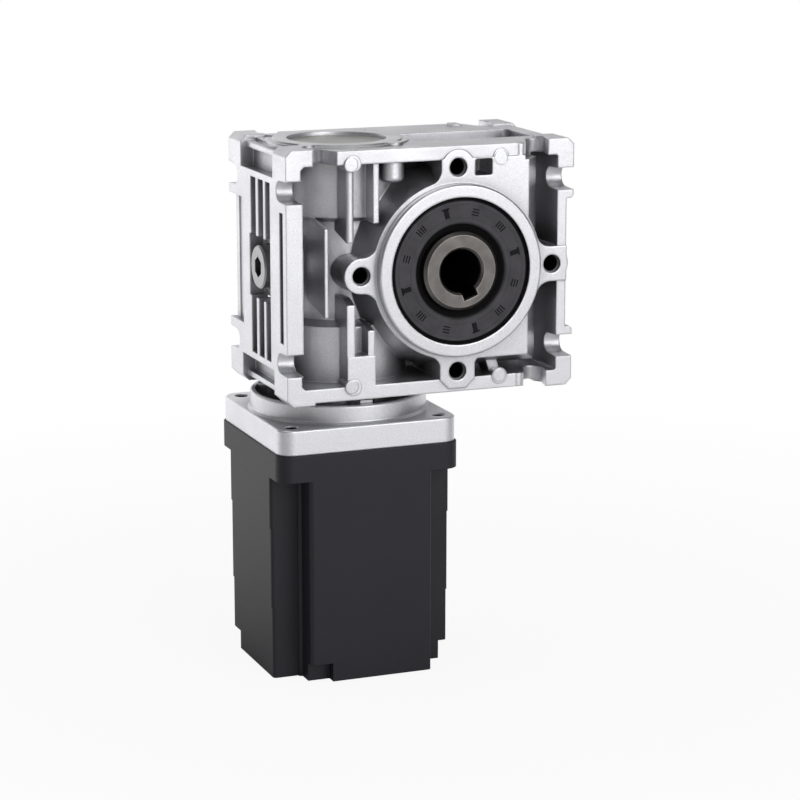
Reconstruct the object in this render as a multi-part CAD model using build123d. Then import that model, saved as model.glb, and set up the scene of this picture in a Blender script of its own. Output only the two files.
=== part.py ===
from build123d import *
from math import atan, cos, degrees, pi, radians, sin, sqrt, tan
import os

# Brushless motor with a worm gearbox. Millimetres, +Z up along the motor shaft,
# Y along the hollow output shaft. The origin is the centre of the output bore.

# Gear set
centre_distance = 30.0
tooth_module = 1.44
wheel_teeth = 30
worm_length = 30.0
flank_angle = 20.0
flank_slack = 0.07
rim_half_width = 6.5
rim_rise = 0.6
blank_spare = 0.15

# Gearbox casting
case_left = 57.0
case_right = 40.0
case_half_height = 40.0
case_half_depth = 28.0
foot_thick = 5.5
foot_hole_d = 6.5
side_foot_pitch = 54.0
top_foot_pitch = 75.0
foot_depth_pitch = 44.0
rail_wide = 4.3
right_rail_inset = 2.4
foot_pad_deep = 12.3
foot_pad_low = 20.8
web_thick = 8.0
corner_chamfer = 2.0
bar_inset = 0.8
bar_height = 4.3

# Output side
output_bore_d = 14.0
keyway_wide = 5.0
keyway_top = 16.3
keyway_angle = -69.0
output_shaft_d = 25.0
ring_proud = 3.5
register_d = 55.0
output_bearing_od = 47.0
output_bearing_wide = 12.0
output_seal_wide = 6.4
seal_set_back = 0.6
seal_room = 0.5
output_ball_r = 3.3
output_ball_count = 10
shoulder_wide = 2.5
hub_d = 36.0
hub_half_width = 7.0
mount_pcd = 65.0
mount_hole_d = 6.0
mount_hole_deep = 11.0
mount_boss_r = 5.6
boss_proud = 0.5
boss_blend_r = 5.0
ring_shoulder = 1.2
barrel_cone = 12.5
cover_plate_thick = 4.0
cover_rim = 3.5
cover_lug_r = 5.0
cover_screw_d = 4.0
cover_screw_long = 8.0
cover_screw_angle = 60.0

# Worm tube, its bearings and its closing parts
worm_cavity_r = 11.2
tube_mid_r = 17.6
tube_upper_r = 20.6
tube_lower_r = 21.8
tube_neck = 17.2
upper_bearing_bore = 12.0
upper_bearing_od = 32.0
upper_bearing_wide = 10.0
upper_ball_r = 2.95
upper_ball_count = 7
lower_bearing_bore = 20.0
lower_bearing_od = 37.0
lower_bearing_wide = 9.0
lower_ball_r = 2.4
lower_ball_count = 10
worm_seal_wide = 4.0
circlip_thick = 1.2
circlip_deep = 0.8
cap_thick = 3.0
cap_set_back = 1.1
cap_room = 1.1
clip_room = 0.2
worm_bore_d = 9.0
drive_end_drop = 5.0
drive_key_wide = 3.0
drive_key_long = 16.0
drive_key_drop = 3.0
plug_head_d = 14.0
plug_head_long = 3.9
plug_thread_d = 10.0
plug_hex = 6.0
plug_inset = 0.2
washer_thick = 0.8

# Adapter between gearbox and motor
adapter_gap = 1.0
cup_d = 57.0
cup_wall = 1.6
cup_height = 6.0
plate_side = 60.0
plate_thick = 8.0
plate_corner_r = 5.0
adapter_floor_thick = 6.5
pilot_height = 1.7
pilot_wall = 2.0
spacer_pcd = 45.0
spacer_count = 3
spacer_flats = 7.0
small_screw_d = 4.0
small_head_d = 7.0
small_head_long = 4.0
motor_hole_square = 49.5
motor_head_sink = 4.2

# Motor
band_thick = 8.7
motor_length = 75.0
motor_side = 61.0
notch_wide = 10.0
notch_edge_r = 1.2
seam_step = 0.3
front_cover_skirt = 16.8
stack_length = 26.3
stator_bore_r = 13.5
slot_inner_r = 15.0
slot_outer_r = 22.5
slot_count = 12
stator_tooth_wide = 3.2
motor_cavity_r = 23.5
motor_bearing_bore = 12.0
motor_bearing_od = 28.0
motor_bearing_wide = 8.0
motor_ball_r = 2.4
motor_ball_count = 8
front_wall = 2.5
rear_seat_rise = 16.5
washer_room = 1.4
lead_opening_wide = 12.0
lead_opening_high = 6.0
lead_opening_rise = 0.2
board_drop = 3.2
board_thick = 1.2
sensor_count = 3
motor_shaft_d = 14.0
air_gap = 0.6
magnet_count = 8
magnet_thick = 2.4
through_screw_square = 36.8
through_screw_d = 3.0
foot_cut_long = 7.2
foot_cut_deep = 3.6
foot_cut_height = 6.0

# Clearances: pressed or bolted faces, running fits, balls in their grooves
press_gap = 0.01
running_gap = 0.05
ball_gap = 0.03
part_gap = 0.3

# Places worked out from the sizes above
worm_x = -centre_distance
wheel_pitch_r = tooth_module * wheel_teeth / 2
worm_pitch_r = centre_distance - wheel_pitch_r
worm_tip_r = worm_pitch_r + tooth_module
worm_root_r = worm_pitch_r - 1.2 * tooth_module
worm_lead = pi * tooth_module
motor_top = -case_half_height - adapter_gap - cup_height - plate_thick
motor_bottom = motor_top - motor_length
plate_top = motor_top + plate_thick
cup_top = plate_top + cup_height
adapter_floor = motor_top + adapter_floor_thick
stack_top = motor_top - band_thick - front_cover_skirt
stack_bottom = stack_top - stack_length
mount_r = mount_pcd / 2
mount_face = case_half_depth + boss_proud
output_half_length = case_half_depth + ring_proud
output_seal_back = output_half_length - seal_set_back - output_seal_wide
bar_outer = case_half_height - bar_inset
bar_inner = bar_outer - bar_height
left_rail_x = -case_left + rail_wide
right_rail_outer = case_right - right_rail_inset
right_rail_inner = case_right - foot_thick
cover_seat = case_half_depth - cover_plate_thick
bearing_start = output_seal_back - seal_room - output_bearing_wide
cap_low = case_half_height - cap_set_back - cap_thick
upper_bearing_foot = cap_low - cap_room - circlip_thick - upper_bearing_wide
worm_seal_low = -case_half_height + pilot_height + part_gap
lower_circlip_low = worm_seal_low + worm_seal_wide + clip_room
lower_bearing_top = lower_circlip_low + circlip_thick + lower_bearing_wide
plug_face = -case_left + plug_inset
plug_seat = plug_face + plug_head_long + washer_thick
rear_bearing_top = motor_bottom + rear_seat_rise
front_bearing_top = motor_top - front_wall
rear_seat_floor = rear_bearing_top - motor_bearing_wide - washer_room
drive_end = -worm_length / 2 - drive_end_drop
board_top = stack_bottom - board_drop


def block(x_range, y_range, z_range):
    """A box given by its low and high value along each axis."""
    sizes = [high - low for low, high in (x_range, y_range, z_range)]
    middle = [(high + low) / 2 for low, high in (x_range, y_range, z_range)]
    return Pos(*middle) * Box(*sizes)


def rod_y(radius, y_range, x=0.0, z=0.0):
    """A cylinder along Y."""
    low, high = y_range
    return Pos(x, (low + high) / 2, z) * Rot(90, 0, 0) * Cylinder(radius, high - low)


def rod_z(radius, z_range, x=0.0, y=0.0):
    """A cylinder along Z."""
    low, high = z_range
    return Pos(x, y, (low + high) / 2) * Cylinder(radius, high - low)


def rod_x(radius, x_range, y=0.0, z=0.0):
    """A cylinder along X."""
    low, high = x_range
    return Pos((low + high) / 2, y, z) * Rot(0, 90, 0) * Cylinder(radius, high - low)


def turned_z(points, x=0.0):
    """A body turned about the Z direction through x, from (radius, z) points."""
    profile = make_face(Polyline(*[(r, 0, z) for r, z in points], close=True))
    return Pos(x, 0, 0) * revolve(profile, Axis.Z)


def turned_y(points):
    """A body turned about the Y axis, from (radius, y) points."""
    profile = make_face(Polyline(*[(r, y, 0) for r, y in points], close=True))
    return revolve(profile, Axis.Y)


def plate_y(points, y_range):
    """A plate cut to an outline of (x, z) points, between two Y values."""
    low, high = y_range
    outline = make_face(Polyline(*[(x, low, z) for x, z in points], close=True))
    return extrude(outline, amount=high - low, dir=(0, 1, 0))


def plate_z(points, z_range):
    """A plate cut to an outline of (x, y) points, between two Z values."""
    low, high = z_range
    outline = make_face(Polyline(*[(x, y, low) for x, y in points], close=True))
    return extrude(outline, amount=high - low, dir=(0, 0, 1))


def both_depths(shape):
    """A shape and its mirror image behind the plane Y = 0."""
    return shape + mirror(shape, about=Plane.XZ)


def both_heights(shape):
    """A shape and its mirror image below the plane Z = 0."""
    return shape + mirror(shape, about=Plane.XY)


def foot_pads():
    """Corner blocks of the four side faces' feet, with their slots left for foot_slots."""
    pad_low = foot_pad_low
    leg = 9.2
    depth = (-case_half_depth, -case_half_depth + foot_pad_deep)
    cut = corner_chamfer
    top = case_half_height
    inner_top = top - foot_thick + 0.6
    round_in = 1.3
    pads = None
    for outer, inward in ((-case_left, 1), (case_right, -1)):
        side = outer + inward * (foot_thick - 0.6)
        low = side + inward * round_in
        outline = [
            (outer, pad_low + 0.8),
            (outer, top - cut),
            (outer + inward * cut, top),
            (outer + inward * leg, top),
            (outer + inward * leg, inner_top),
            (low, inner_top),
            (side, inner_top - round_in),
            (side, pad_low),
            (outer + inward * 0.8, pad_low),
        ]
        pad = plate_y(outline, depth)
        pads = pad if pads is None else pads + pad
    return both_heights(both_depths(pads))


def foot_slots():
    """The open slots of the eight feet: a round end, and a mouth towards the near face."""
    radius = foot_hole_d / 2
    hole_y = foot_depth_pitch / 2
    edge = case_half_depth + 1
    reach = foot_thick + 1
    side_z = side_foot_pitch / 2
    flare = radius + 0.35
    slots = []
    for low, high in (
        (-case_left - 1, -case_left + reach - 1),
        (case_right - reach + 1, case_right + 1),
    ):
        mouth = [
            (-hole_y, side_z - radius),
            (-edge, side_z - flare),
            (-edge, side_z + flare),
            (-hole_y, side_z + radius),
        ]
        face = make_face(Polyline(*[(low, y, z) for y, z in mouth], close=True))
        slot = extrude(face, amount=high - low, dir=(1, 0, 0))
        slot += rod_x(radius, (low, high), -hole_y, side_z)
        slots.append(both_heights(both_depths(slot)))
    middle = (case_right - case_left) / 2
    wide = 4.1
    for sign in (-1, 1):
        hole_x = middle + sign * top_foot_pitch / 2
        inner = hole_x - sign * radius
        outer = hole_x + sign * radius
        mouth = [
            (inner, -hole_y),
            (inner - sign * (wide - radius + 2.2), -edge),
            (outer - sign * 1.4, -edge),
            (outer, -hole_y),
        ]
        z_range = (case_half_height - reach + 0.4, case_half_height + 1)
        slot = plate_z(mouth, z_range) + rod_z(radius, z_range, hole_x, -hole_y)
        slot = both_depths(slot)
        slots.append(slot)
        if sign > 0:
            slots.append(mirror(slot, about=Plane.XY))
    return slots


def case_frame():
    """Top and bottom plates, side rails and the middle web that tie the casting together."""
    depth = (-case_half_depth, case_half_depth)
    half_web = web_thick / 2
    frame = block((left_rail_x, right_rail_inner), (-half_web, half_web), (-bar_inner, bar_inner))
    frame += both_heights(block((left_rail_x + 1.0, right_rail_inner), depth, (bar_inner, bar_outer)))
    strip_top = side_foot_pitch / 2 + foot_hole_d / 2 + 0.3
    frame += block((-case_left, -case_left + foot_thick), depth, (-strip_top, strip_top))
    frame += block((right_rail_inner, right_rail_outer), depth, (-bar_outer, bar_outer))
    shelf_x = (-case_left + 2, -case_left + foot_thick + 1)
    frame += both_heights(block(shelf_x, (-17, 17), (strip_top - 0.1, bar_outer - 1)))
    return frame


def left_face_cuts():
    """Slots between the upright fins of the left face, the plug's recess and the rail grooves."""
    low_x = -case_left - 1
    floor_x = -case_left + foot_thick + 0.3
    fin_top = side_foot_pitch / 2 + 1.4
    fin_foot = 10.0
    cuts = []
    for near, far in ((0.9, 6.0), (-6.4, -1.3), (-12.9, -8.3)):
        slot = block((low_x, floor_x), (near, far), (fin_foot, fin_top))
        cuts.append(both_heights(slot))
    recess = plug_head_d / 2 + 3.0
    recess_rear = plug_head_d / 2 + 0.5
    cuts.append(block((low_x, plug_seat), (-12.9, recess_rear), (-recess, recess)))
    groove_top = side_foot_pitch / 2 - foot_hole_d
    groove_y = (-case_half_depth + 3.0, -case_half_depth + 6.2)
    groove = block((low_x, -case_left + 2.8), groove_y, (-groove_top, groove_top))
    cuts.append(both_depths(groove))
    rear_rail = block((low_x, -case_left + 2.4), (14.2, case_half_depth + 1), (-groove_top, groove_top))
    cuts.append(rear_rail)
    window_y = (foot_pad_deep - case_half_depth, case_half_depth - foot_pad_deep)
    window = block((low_x, -case_left + 4.4), window_y, (fin_top + 2.0, bar_inner + 1.6))
    cuts.append(both_heights(window))
    return cuts


def worm_tube():
    """The upright tube round the worm, wide at both bearings and necked beside them."""
    neck_r = tube_mid_r - 0.4
    top = case_half_height
    outline = [
        (0, -top),
        (tube_lower_r, -top),
        (tube_lower_r, -tube_neck),
        (neck_r, -tube_neck + 1.6),
        (tube_mid_r, -tube_neck + 4),
        (tube_mid_r, tube_neck - 4),
        (neck_r, tube_neck - 1.6),
        (tube_upper_r, tube_neck),
        (tube_upper_r, top),
        (0, top),
    ]
    return turned_z(outline, worm_x)


def output_barrel():
    """The coned barrel round the wheel, with the register ring in front."""
    ring_r = register_d / 2
    barrel_r = ring_r + 5.5
    shoulder = mount_face
    outline = [
        (0, -output_half_length),
        (ring_r - 0.5, -output_half_length),
        (ring_r, -output_half_length + 0.5),
        (ring_r, -shoulder),
        (ring_r + ring_shoulder, -shoulder),
        (ring_r + ring_shoulder + 1, -shoulder + 3),
        (barrel_r, -shoulder + barrel_cone),
        (barrel_r, cover_seat),
        (0, cover_seat),
    ]
    return turned_y(outline)


def blended_bosses(y_near, y_far):
    """The ring's shoulder with the four bolt bosses flowing into it by round corners."""
    outline = Circle(register_d / 2 + ring_shoulder)
    for angle in range(0, 360, 90):
        outline += Rot(0, 0, angle) * Pos(mount_r, 0) * Circle(mount_boss_r)
    corners = [spot for spot in outline.vertices() if spot.X**2 + spot.Y**2 < mount_r**2]
    outline = fillet(corners, boss_blend_r)
    return Pos(0, y_far, 0) * Rot(90, 0, 0) * extrude(outline, amount=y_far - y_near)


def mount_bosses(y_near, y_far):
    """The four bosses of the output bolt circle between two depths."""
    depth = (y_near, y_far)
    bosses = blended_bosses(y_near, y_far)
    foot = -mount_r - mount_boss_r
    half = mount_boss_r + 0.3
    pad = [
        (-half, -mount_r + 8),
        (-half, foot + 3),
        (-half + 3, foot),
        (half - 3, foot),
        (half, foot + 3),
        (half, -mount_r + 8),
    ]
    bosses += plate_y(pad, depth)
    bosses += block((mount_r - 8, right_rail_outer), depth, (-mount_boss_r, mount_boss_r))
    return bosses


def front_panel():
    """The flat panel flush with the bosses, with its slanted right and lower walls."""
    left, right = -mount_boss_r, 24.2
    low, high = -28.2, bar_inner + 0.3
    bevel = 5.0
    front = -mount_face
    back = front + 6.0
    outline = [(left, front), (right, front), (right + bevel, back), (right + bevel, 0), (left, 0)]
    panel = plate_z(outline, (low - bevel + 1.5, high))
    lower_cut = make_face(
        Polyline(
            (left - 1, front - 1, low),
            (left - 1, back, low - bevel + 1.5),
            (left - 1, front - 1, low - bevel - 3),
            close=True,
        )
    )
    panel -= extrude(lower_cut, amount=right + bevel - left + 2, dir=(1, 0, 0))
    trim_top = side_foot_pitch / 2 - 9
    panel -= block((left - 1, mount_boss_r + 0.3), (front - 1, -web_thick), (low - bevel, -trim_top))
    return panel


def front_ribs():
    """Cast ribs, pads and studs between the rails and the barrel, on the near side."""
    near = -case_half_depth
    tube_front = -tube_mid_r + 1
    fin = [
        (-44.2, near + 0.6, 15.2),
        (-44.2, near + 0.6, -12.6),
        (-44.2, -8, -9.0),
        (-44.2, -8, 18.2),
    ]
    ribs = extrude(make_face(Polyline(*fin, close=True)), amount=1.1, dir=(1, 0, 0))
    tall = [
        (-37.0, near + 0.4, bar_inner + 1),
        (-37.0, near + 0.4, 10.4),
        (-37.0, tube_front, 13.0),
        (-37.0, tube_front, bar_inner + 1),
    ]
    rib = extrude(make_face(Polyline(*tall, close=True)), amount=2.6, dir=(1, 0, 0))
    round_edges = rib.edges().filter_by(Axis.Z).group_by(Axis.Y)[0]
    ribs += fillet(round_edges, 1.1)
    ribs += block((-28.0, -26.2), (near + 0.8, tube_front), (tube_neck - 1, bar_inner + 1))
    low = [
        (-37.0, near + 0.4, -26),
        (-37.0, near + 0.4, -9.2),
        (-37.0, near + 5.0, -7.4),
        (-37.0, tube_front, -7.4),
        (-37.0, tube_front, -26),
    ]
    ribs += extrude(make_face(Polyline(*low, close=True)), amount=2.6, dir=(1, 0, 0))
    short = [
        (-30.0, near + 0.4, -26),
        (-30.0, near + 0.4, -17.6),
        (-30.0, tube_front, -15.2),
        (-30.0, tube_front, -26),
    ]
    ribs += extrude(make_face(Polyline(*short, close=True)), amount=2.2, dir=(1, 0, 0))
    ribs += block((-37.0, -27.6), (near, tube_front), (-bar_outer, -25.4))
    stud = rod_z(4.0, (28.5, bar_inner + 1), -20.6, near + 4.6)
    ribs += fillet(stud.edges().group_by(Axis.Z)[0], 1.5)
    ribs += block((-21.4, -19.8), (near + 4.6, -10), (29.5, bar_inner + 1))
    ribs += block((left_rail_x - 0.5, left_rail_x + 2.0), (near + 2.0, -web_thick / 2), (-8.0, 9.0))
    for x, z in ((-35.7, bar_inner), (14.5, bar_inner), (-35.7, -bar_inner), (14.5, -bar_inner)):
        ribs += rod_y(2.25, (near - 0.6, near + 6), x, z)
    for z_sign in (-1, 1):
        span = sorted((z_sign * bar_inner, z_sign * (bar_outer - 0.2)))
        ribs += rod_z(2.0, span, 21.5, near + 1.6)
    brace = [
        (14.0, near + 3, -28.0),
        (10.4, near + 3, -28.0),
        (13.0, near + 3, -bar_inner - 1),
        (16.8, near + 3, -bar_inner - 1),
    ]
    ribs += extrude(make_face(Polyline(*brace, close=True)), amount=8, dir=(0, 1, 0))
    return ribs


def top_deck():
    """The raised rim of the upper bearing bore and the lugs that stand round it."""
    top = case_half_height
    deck = rod_z(tube_upper_r + 2.2, (bar_inner, top - 0.4), worm_x)
    for x, y, r in ((-17.5, -17.0, 3.2), (-17.0, 17.0, 3.2), (-45.5, -15.0, 2.6), (-45.5, 15.0, 3.0)):
        deck += rod_z(r, (bar_inner, top), x, y)
    deck += block((right_rail_inner - 16.5, right_rail_inner - 13.5), (19.5, 24.5), (bar_inner, top))
    return deck


def top_pockets():
    """Lightening pockets in the top and bottom plates and the small square one in front."""
    inner = right_rail_inner - 2.0
    pocket = block((-7.5, inner), (-13.0, 7.5), (bar_inner + 0.9, case_half_height + 1))
    pocket = fillet(pocket.edges().filter_by(Axis.Z), 2.0)
    cuts = [pocket, mirror(pocket, about=Plane.XY)]
    window_y = (-mount_face - 1, -mount_face + 10.5)
    window = block((5.7, 11.6), window_y, (bar_inner - 5.3, bar_inner))
    cuts.append(fillet(window.edges().filter_by(Axis.Y), 0.7))
    return cuts


def inner_bores():
    """Everything hollow: wheel chamber, bearing seats, worm chamber and the plug's thread."""
    seat_r = output_bearing_od / 2
    chamber_r = register_d / 2 - 0.5 + press_gap
    top = case_half_height
    bores = [
        rod_y(seat_r, (-output_half_length - 1, -bearing_start)),
        rod_y(seat_r + 1.6, (-bearing_start, bearing_start)),
        rod_y(chamber_r, (bearing_start, cover_seat + 1)),
        rod_z(worm_cavity_r, (lower_bearing_top, upper_bearing_foot), worm_x),
        rod_z(upper_bearing_od / 2, (upper_bearing_foot, top + 1), worm_x),
        rod_z(lower_bearing_od / 2, (-top - 1, lower_bearing_top), worm_x),
    ]
    groove = circlip_thick + press_gap
    upper_ring = upper_bearing_foot + upper_bearing_wide
    upper_groove_r = upper_bearing_od / 2 + circlip_deep
    bores.append(rod_z(upper_groove_r, (upper_ring, upper_ring + groove), worm_x))
    lower_ring = lower_bearing_top - lower_bearing_wide
    lower_groove_r = lower_bearing_od / 2 + circlip_deep
    bores.append(rod_z(lower_groove_r, (lower_ring - groove, lower_ring), worm_x))
    bores.append(rod_x(plug_thread_d / 2, (-case_left, worm_x), 0, 0))
    return bores


def housing():
    """The die cast gearbox case, one piece with its feet, ribs and front bearing ring."""
    body = case_frame() + worm_tube() + output_barrel()
    body += mount_bosses(-mount_face, -web_thick / 2)
    body += mount_bosses(web_thick / 2, cover_seat)
    body += front_panel()
    body += foot_pads()
    body += front_ribs()
    body += top_deck()
    body += rod_x(plug_head_d / 2 + 1.4, (plug_seat, worm_x), 0, 0)
    for place in cover_screw_places():
        body += rod_y(cover_lug_r, (web_thick / 2, cover_seat), *place)
    for cut in left_face_cuts() + foot_slots() + top_pockets() + inner_bores():
        body -= cut
    for angle in range(0, 360, 90):
        x = mount_r * cos(radians(angle))
        z = mount_r * sin(radians(angle))
        body -= rod_y(mount_hole_d / 2, (-mount_face - 1, -mount_face + mount_hole_deep), x, z)
        body -= rod_y(mount_hole_d / 2, (mount_face - mount_hole_deep, mount_face + 1), x, z)
    thread_end = case_half_depth - cover_screw_long - 1.0
    for place in cover_screw_places():
        body -= rod_y(cover_screw_d / 2 + press_gap, (thread_end, cover_seat + 1), *place)
    body -= cover_pocket()
    for x, y in spacer_places():
        depth = (-case_half_height - 1, -case_half_height + 7)
        body -= rod_z(small_screw_d / 2 + press_gap, depth, x, y)
    return body


def cover_screw_places():
    """The (x, z) of the four screws that hold the rear cover."""
    x = mount_r * cos(radians(cover_screw_angle))
    z = mount_r * sin(radians(cover_screw_angle))
    return [(sx * x, sz * z) for sx in (-1, 1) for sz in (-1, 1)]


def spacer_places():
    """The (x, y) of the hex spacers under the gearbox."""
    spots = []
    for index in range(spacer_count):
        angle = radians(-90 + index * 360 / spacer_count)
        spots.append((worm_x + spacer_pcd / 2 * cos(angle), spacer_pcd / 2 * sin(angle)))
    return spots


def cover_outline(y_range, y_boss, margin):
    """The rear cover's plate and lugs as solid discs, with a margin all round."""
    shape = rod_y(register_d / 2 + cover_rim + margin, y_range)
    for angle in range(0, 360, 90):
        x = mount_r * cos(radians(angle))
        z = mount_r * sin(radians(angle))
        shape += rod_y(mount_boss_r + margin, (y_range[0], y_boss), x, z)
    for place in cover_screw_places():
        shape += rod_y(cover_lug_r + margin, y_range, *place)
    return shape


def cover_pocket():
    """The room that the casting leaves round the rear cover."""
    far = mount_face + 1
    return cover_outline((cover_seat, far), far, part_gap)


def rear_cover():
    """The bolted cover behind the wheel: plate with lugs, spigot and register ring."""
    ring_r = register_d / 2
    spigot_r = ring_r - 0.5
    inner = bearing_start
    body = turned_y(
        [
            (0, inner),
            (spigot_r, inner),
            (spigot_r, cover_seat),
            (ring_r + ring_shoulder, cover_seat),
            (ring_r + ring_shoulder, mount_face),
            (ring_r, mount_face),
            (ring_r, output_half_length - 0.5),
            (ring_r - 0.5, output_half_length),
            (0, output_half_length),
        ]
    )
    body += cover_outline((cover_seat, case_half_depth), mount_face, 0)
    body -= rod_y(output_bearing_od / 2, (inner - 1, output_half_length + 1))
    for angle in range(0, 360, 90):
        x = mount_r * cos(radians(angle))
        z = mount_r * sin(radians(angle))
        body -= rod_y(mount_hole_d / 2, (cover_seat - 1, mount_face + 1), x, z)
    sink = cover_screw_d / 2
    for x, z in cover_screw_places():
        body -= rod_y(sink + 0.2, (cover_seat - 1, case_half_depth + 1), x, z)
        body -= countersunk_head(sink + 0.2).moved(Location((x, case_half_depth, z)))
        body -= rod_y(2 * (sink + 0.2), (case_half_depth, mount_face + 1), x, z)
    return body


def countersunk_head(radius):
    """A screw head that narrows inwards from Y = 0, without its shank."""
    return turned_y([(0, 0), (2 * radius, 0), (radius, -radius), (0, -radius)])


def cover_screws():
    """The four countersunk screws of the rear cover."""
    screws = []
    radius = cover_screw_d / 2
    for x, z in cover_screw_places():
        length = cover_screw_long
        screw = turned_y([(0, 0), (2 * radius, 0), (radius, -radius), (radius, -length), (0, -length)])
        socket = Rot(90, 0, 0) * extrude(RegularPolygon(1.3, 6), amount=1.4)
        screw -= socket
        screws.append(screw.moved(Location((x, case_half_depth - 0.15, z))))
    return screws


def output_shaft():
    """The hollow output shaft with its wheel hub, shoulders, bore and keyway."""
    shaft_r = output_shaft_d / 2
    end = output_half_length
    shoulder_r = shaft_r + shoulder_wide
    lands = bearing_start
    edge = 1.0
    half = [
        (shaft_r - edge, end),
        (shaft_r, end - edge),
        (shaft_r, lands),
        (shoulder_r, lands),
        (shoulder_r, hub_half_width),
        (hub_d / 2, hub_half_width),
    ]
    bore_r = output_bore_d / 2
    chamfer_wide = 0.7
    outline = [(bore_r + chamfer_wide, end)] + half
    outline += [(r, -y) for r, y in reversed(half)]
    outline += [(bore_r + chamfer_wide, -end), (bore_r, -end + chamfer_wide), (bore_r, end - chamfer_wide)]
    shaft = turned_y(outline)
    key_bottom = keyway_top - bore_r
    slot = block((0, key_bottom), (-end - 1, end + 1), (-keyway_wide / 2, keyway_wide / 2))
    return shaft - Rot(0, -keyway_angle, 0) * slot


def wheel_outline():
    """The toothed outline of the wheel: involute flanks between root and tip circles."""
    base_r = wheel_pitch_r * cos(radians(flank_angle))
    root_r = wheel_pitch_r - 1.2 * tooth_module
    tip_r = wheel_pitch_r + tooth_module + rim_rise + blank_spare
    pitch_spread = sqrt((wheel_pitch_r / base_r) ** 2 - 1)
    pitch_turn = pitch_spread - atan(pitch_spread)
    half_tooth = pi / (2 * wheel_teeth) - flank_slack / wheel_pitch_r

    def half_angle(radius):
        if radius < base_r:
            return half_tooth + pitch_turn
        spread = sqrt((radius / base_r) ** 2 - 1)
        return half_tooth + pitch_turn - (spread - atan(spread))

    radii = [root_r, root_r + 0.45 * (tip_r - root_r), root_r + 0.7 * (tip_r - root_r), tip_r]
    points = []
    for tooth in range(wheel_teeth):
        centre = 2 * pi * (tooth + 0.5) / wheel_teeth
        for radius in radii:
            points.append((radius, centre - half_angle(radius)))
        for radius in reversed(radii):
            points.append((radius, centre + half_angle(radius)))
    return [(-r * cos(a), r * sin(a)) for r, a in points]


def wheel_rim():
    """The bronze rim: twisted teeth, hollowed to the worm's curve across its width."""
    half = rim_half_width
    lead_angle = atan(worm_lead / (2 * pi * worm_pitch_r))
    twist = degrees(2 * half * tan(lead_angle) / wheel_pitch_r)
    outline = Face(Wire.make_polygon([Vector(x, -half, z) for x, z in wheel_outline()]))
    teeth = Solid.extrude_linear_with_rotation(
        outline, center=(0, -half, 0), normal=(0, 2 * half, 0), angle=twist
    )
    teeth = Rot(0, -twist / 2, 0) * teeth
    tip_r = wheel_pitch_r + tooth_module
    throat_r = centre_distance - tip_r
    edge_r = tip_r + rim_rise
    reach = sqrt(throat_r**2 - (centre_distance - edge_r) ** 2)
    end = half + 1
    blank = [
        Line((0, -end, 0), (edge_r, -end, 0)),
        Line((edge_r, -end, 0), (edge_r, -reach, 0)),
        ThreePointArc((edge_r, -reach, 0), (tip_r, 0, 0), (edge_r, reach, 0)),
        Line((edge_r, reach, 0), (edge_r, end, 0)),
        Line((edge_r, end, 0), (0, end, 0)),
        Line((0, end, 0), (0, -end, 0)),
    ]
    turned = revolve(make_face(blank), Axis.Y)
    rim = teeth & turned
    return rim - rod_y(hub_d / 2 + press_gap, (-half - 1, half + 1))


def worm_shaft():
    """The worm: one helical thread cut on the hollow input shaft."""
    half = worm_length / 2
    upper = upper_bearing_bore / 2
    lower = lower_bearing_bore / 2
    top = upper_bearing_foot + upper_bearing_wide
    outline = [
        (0, top),
        (upper - 0.4, top),
        (upper, top - 0.4),
        (upper, upper_bearing_foot),
        (upper + 1.6, upper_bearing_foot),
        (upper + 1.6, half + 2),
        (worm_root_r, half),
        (worm_root_r, -half),
        (lower + 1.2, -half - 2.5),
        (lower + 1.2, lower_bearing_top),
        (lower, lower_bearing_top),
        (lower, -case_half_height - 3.4),
        (lower - 0.6, -case_half_height - 4),
        (0, -case_half_height - 4),
    ]
    shaft = turned_z(outline)
    sunk = 0.25
    run = worm_lead * (int(worm_length / worm_lead) + 3)
    start = -worm_lead * (int(worm_length / worm_lead / 2) + 2)
    path = Pos(0, 0, start) * Helix(worm_lead, run, worm_root_r)
    slope = tan(radians(flank_angle))
    pitch_half = worm_lead / 4 - flank_slack
    tip_half = pitch_half - slope * tooth_module
    root_half = pitch_half + slope * (worm_pitch_r - worm_root_r + sunk)
    section = make_face(
        Polyline(
            (worm_root_r - sunk, 0, start - root_half),
            (worm_tip_r, 0, start - tip_half),
            (worm_tip_r, 0, start + tip_half),
            (worm_root_r - sunk, 0, start + root_half),
            close=True,
        )
    )
    thread = sweep(section, path=path, is_frenet=True)
    thread = thread & rod_z(worm_tip_r + 1, (-half + 0.3, half - 0.3))
    shaft = shaft + thread
    depth = (-case_half_height - 5, -half - 4)
    shaft -= rod_z(worm_bore_d / 2 + press_gap, depth)
    key_half = drive_key_wide / 2
    key = block((0, worm_bore_d / 2 + key_half), (-key_half, key_half), depth)
    return Pos(worm_x, 0, 0) * (shaft - key)


def ball_bearing(inner_r, outer_r, wide, ball_r, ball_count):
    """Inner ring, outer ring and balls of a bearing turned about Z and centred on Z = 0."""
    pitch_r = (inner_r + outer_r) / 2
    land = 0.55 * ball_r
    half = wide / 2
    edge = 0.4
    track = Torus(pitch_r, ball_r + ball_gap)
    inner = turned_z(
        [
            (inner_r + press_gap, half - edge),
            (inner_r + press_gap + edge, half),
            (pitch_r - land, half),
            (pitch_r - land, -half),
            (inner_r + press_gap + edge, -half),
            (inner_r + press_gap, -half + edge),
        ]
    )
    outer = turned_z(
        [
            (outer_r - press_gap, half - edge),
            (outer_r - press_gap - edge, half),
            (pitch_r + land, half),
            (pitch_r + land, -half),
            (outer_r - press_gap - edge, -half),
            (outer_r - press_gap, -half + edge),
        ]
    )
    balls = []
    for index in range(ball_count):
        angle = radians(index * 360 / ball_count)
        balls.append(Pos(pitch_r * cos(angle), pitch_r * sin(angle), 0) * Sphere(ball_r))
    return inner - track, outer - track, balls


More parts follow.
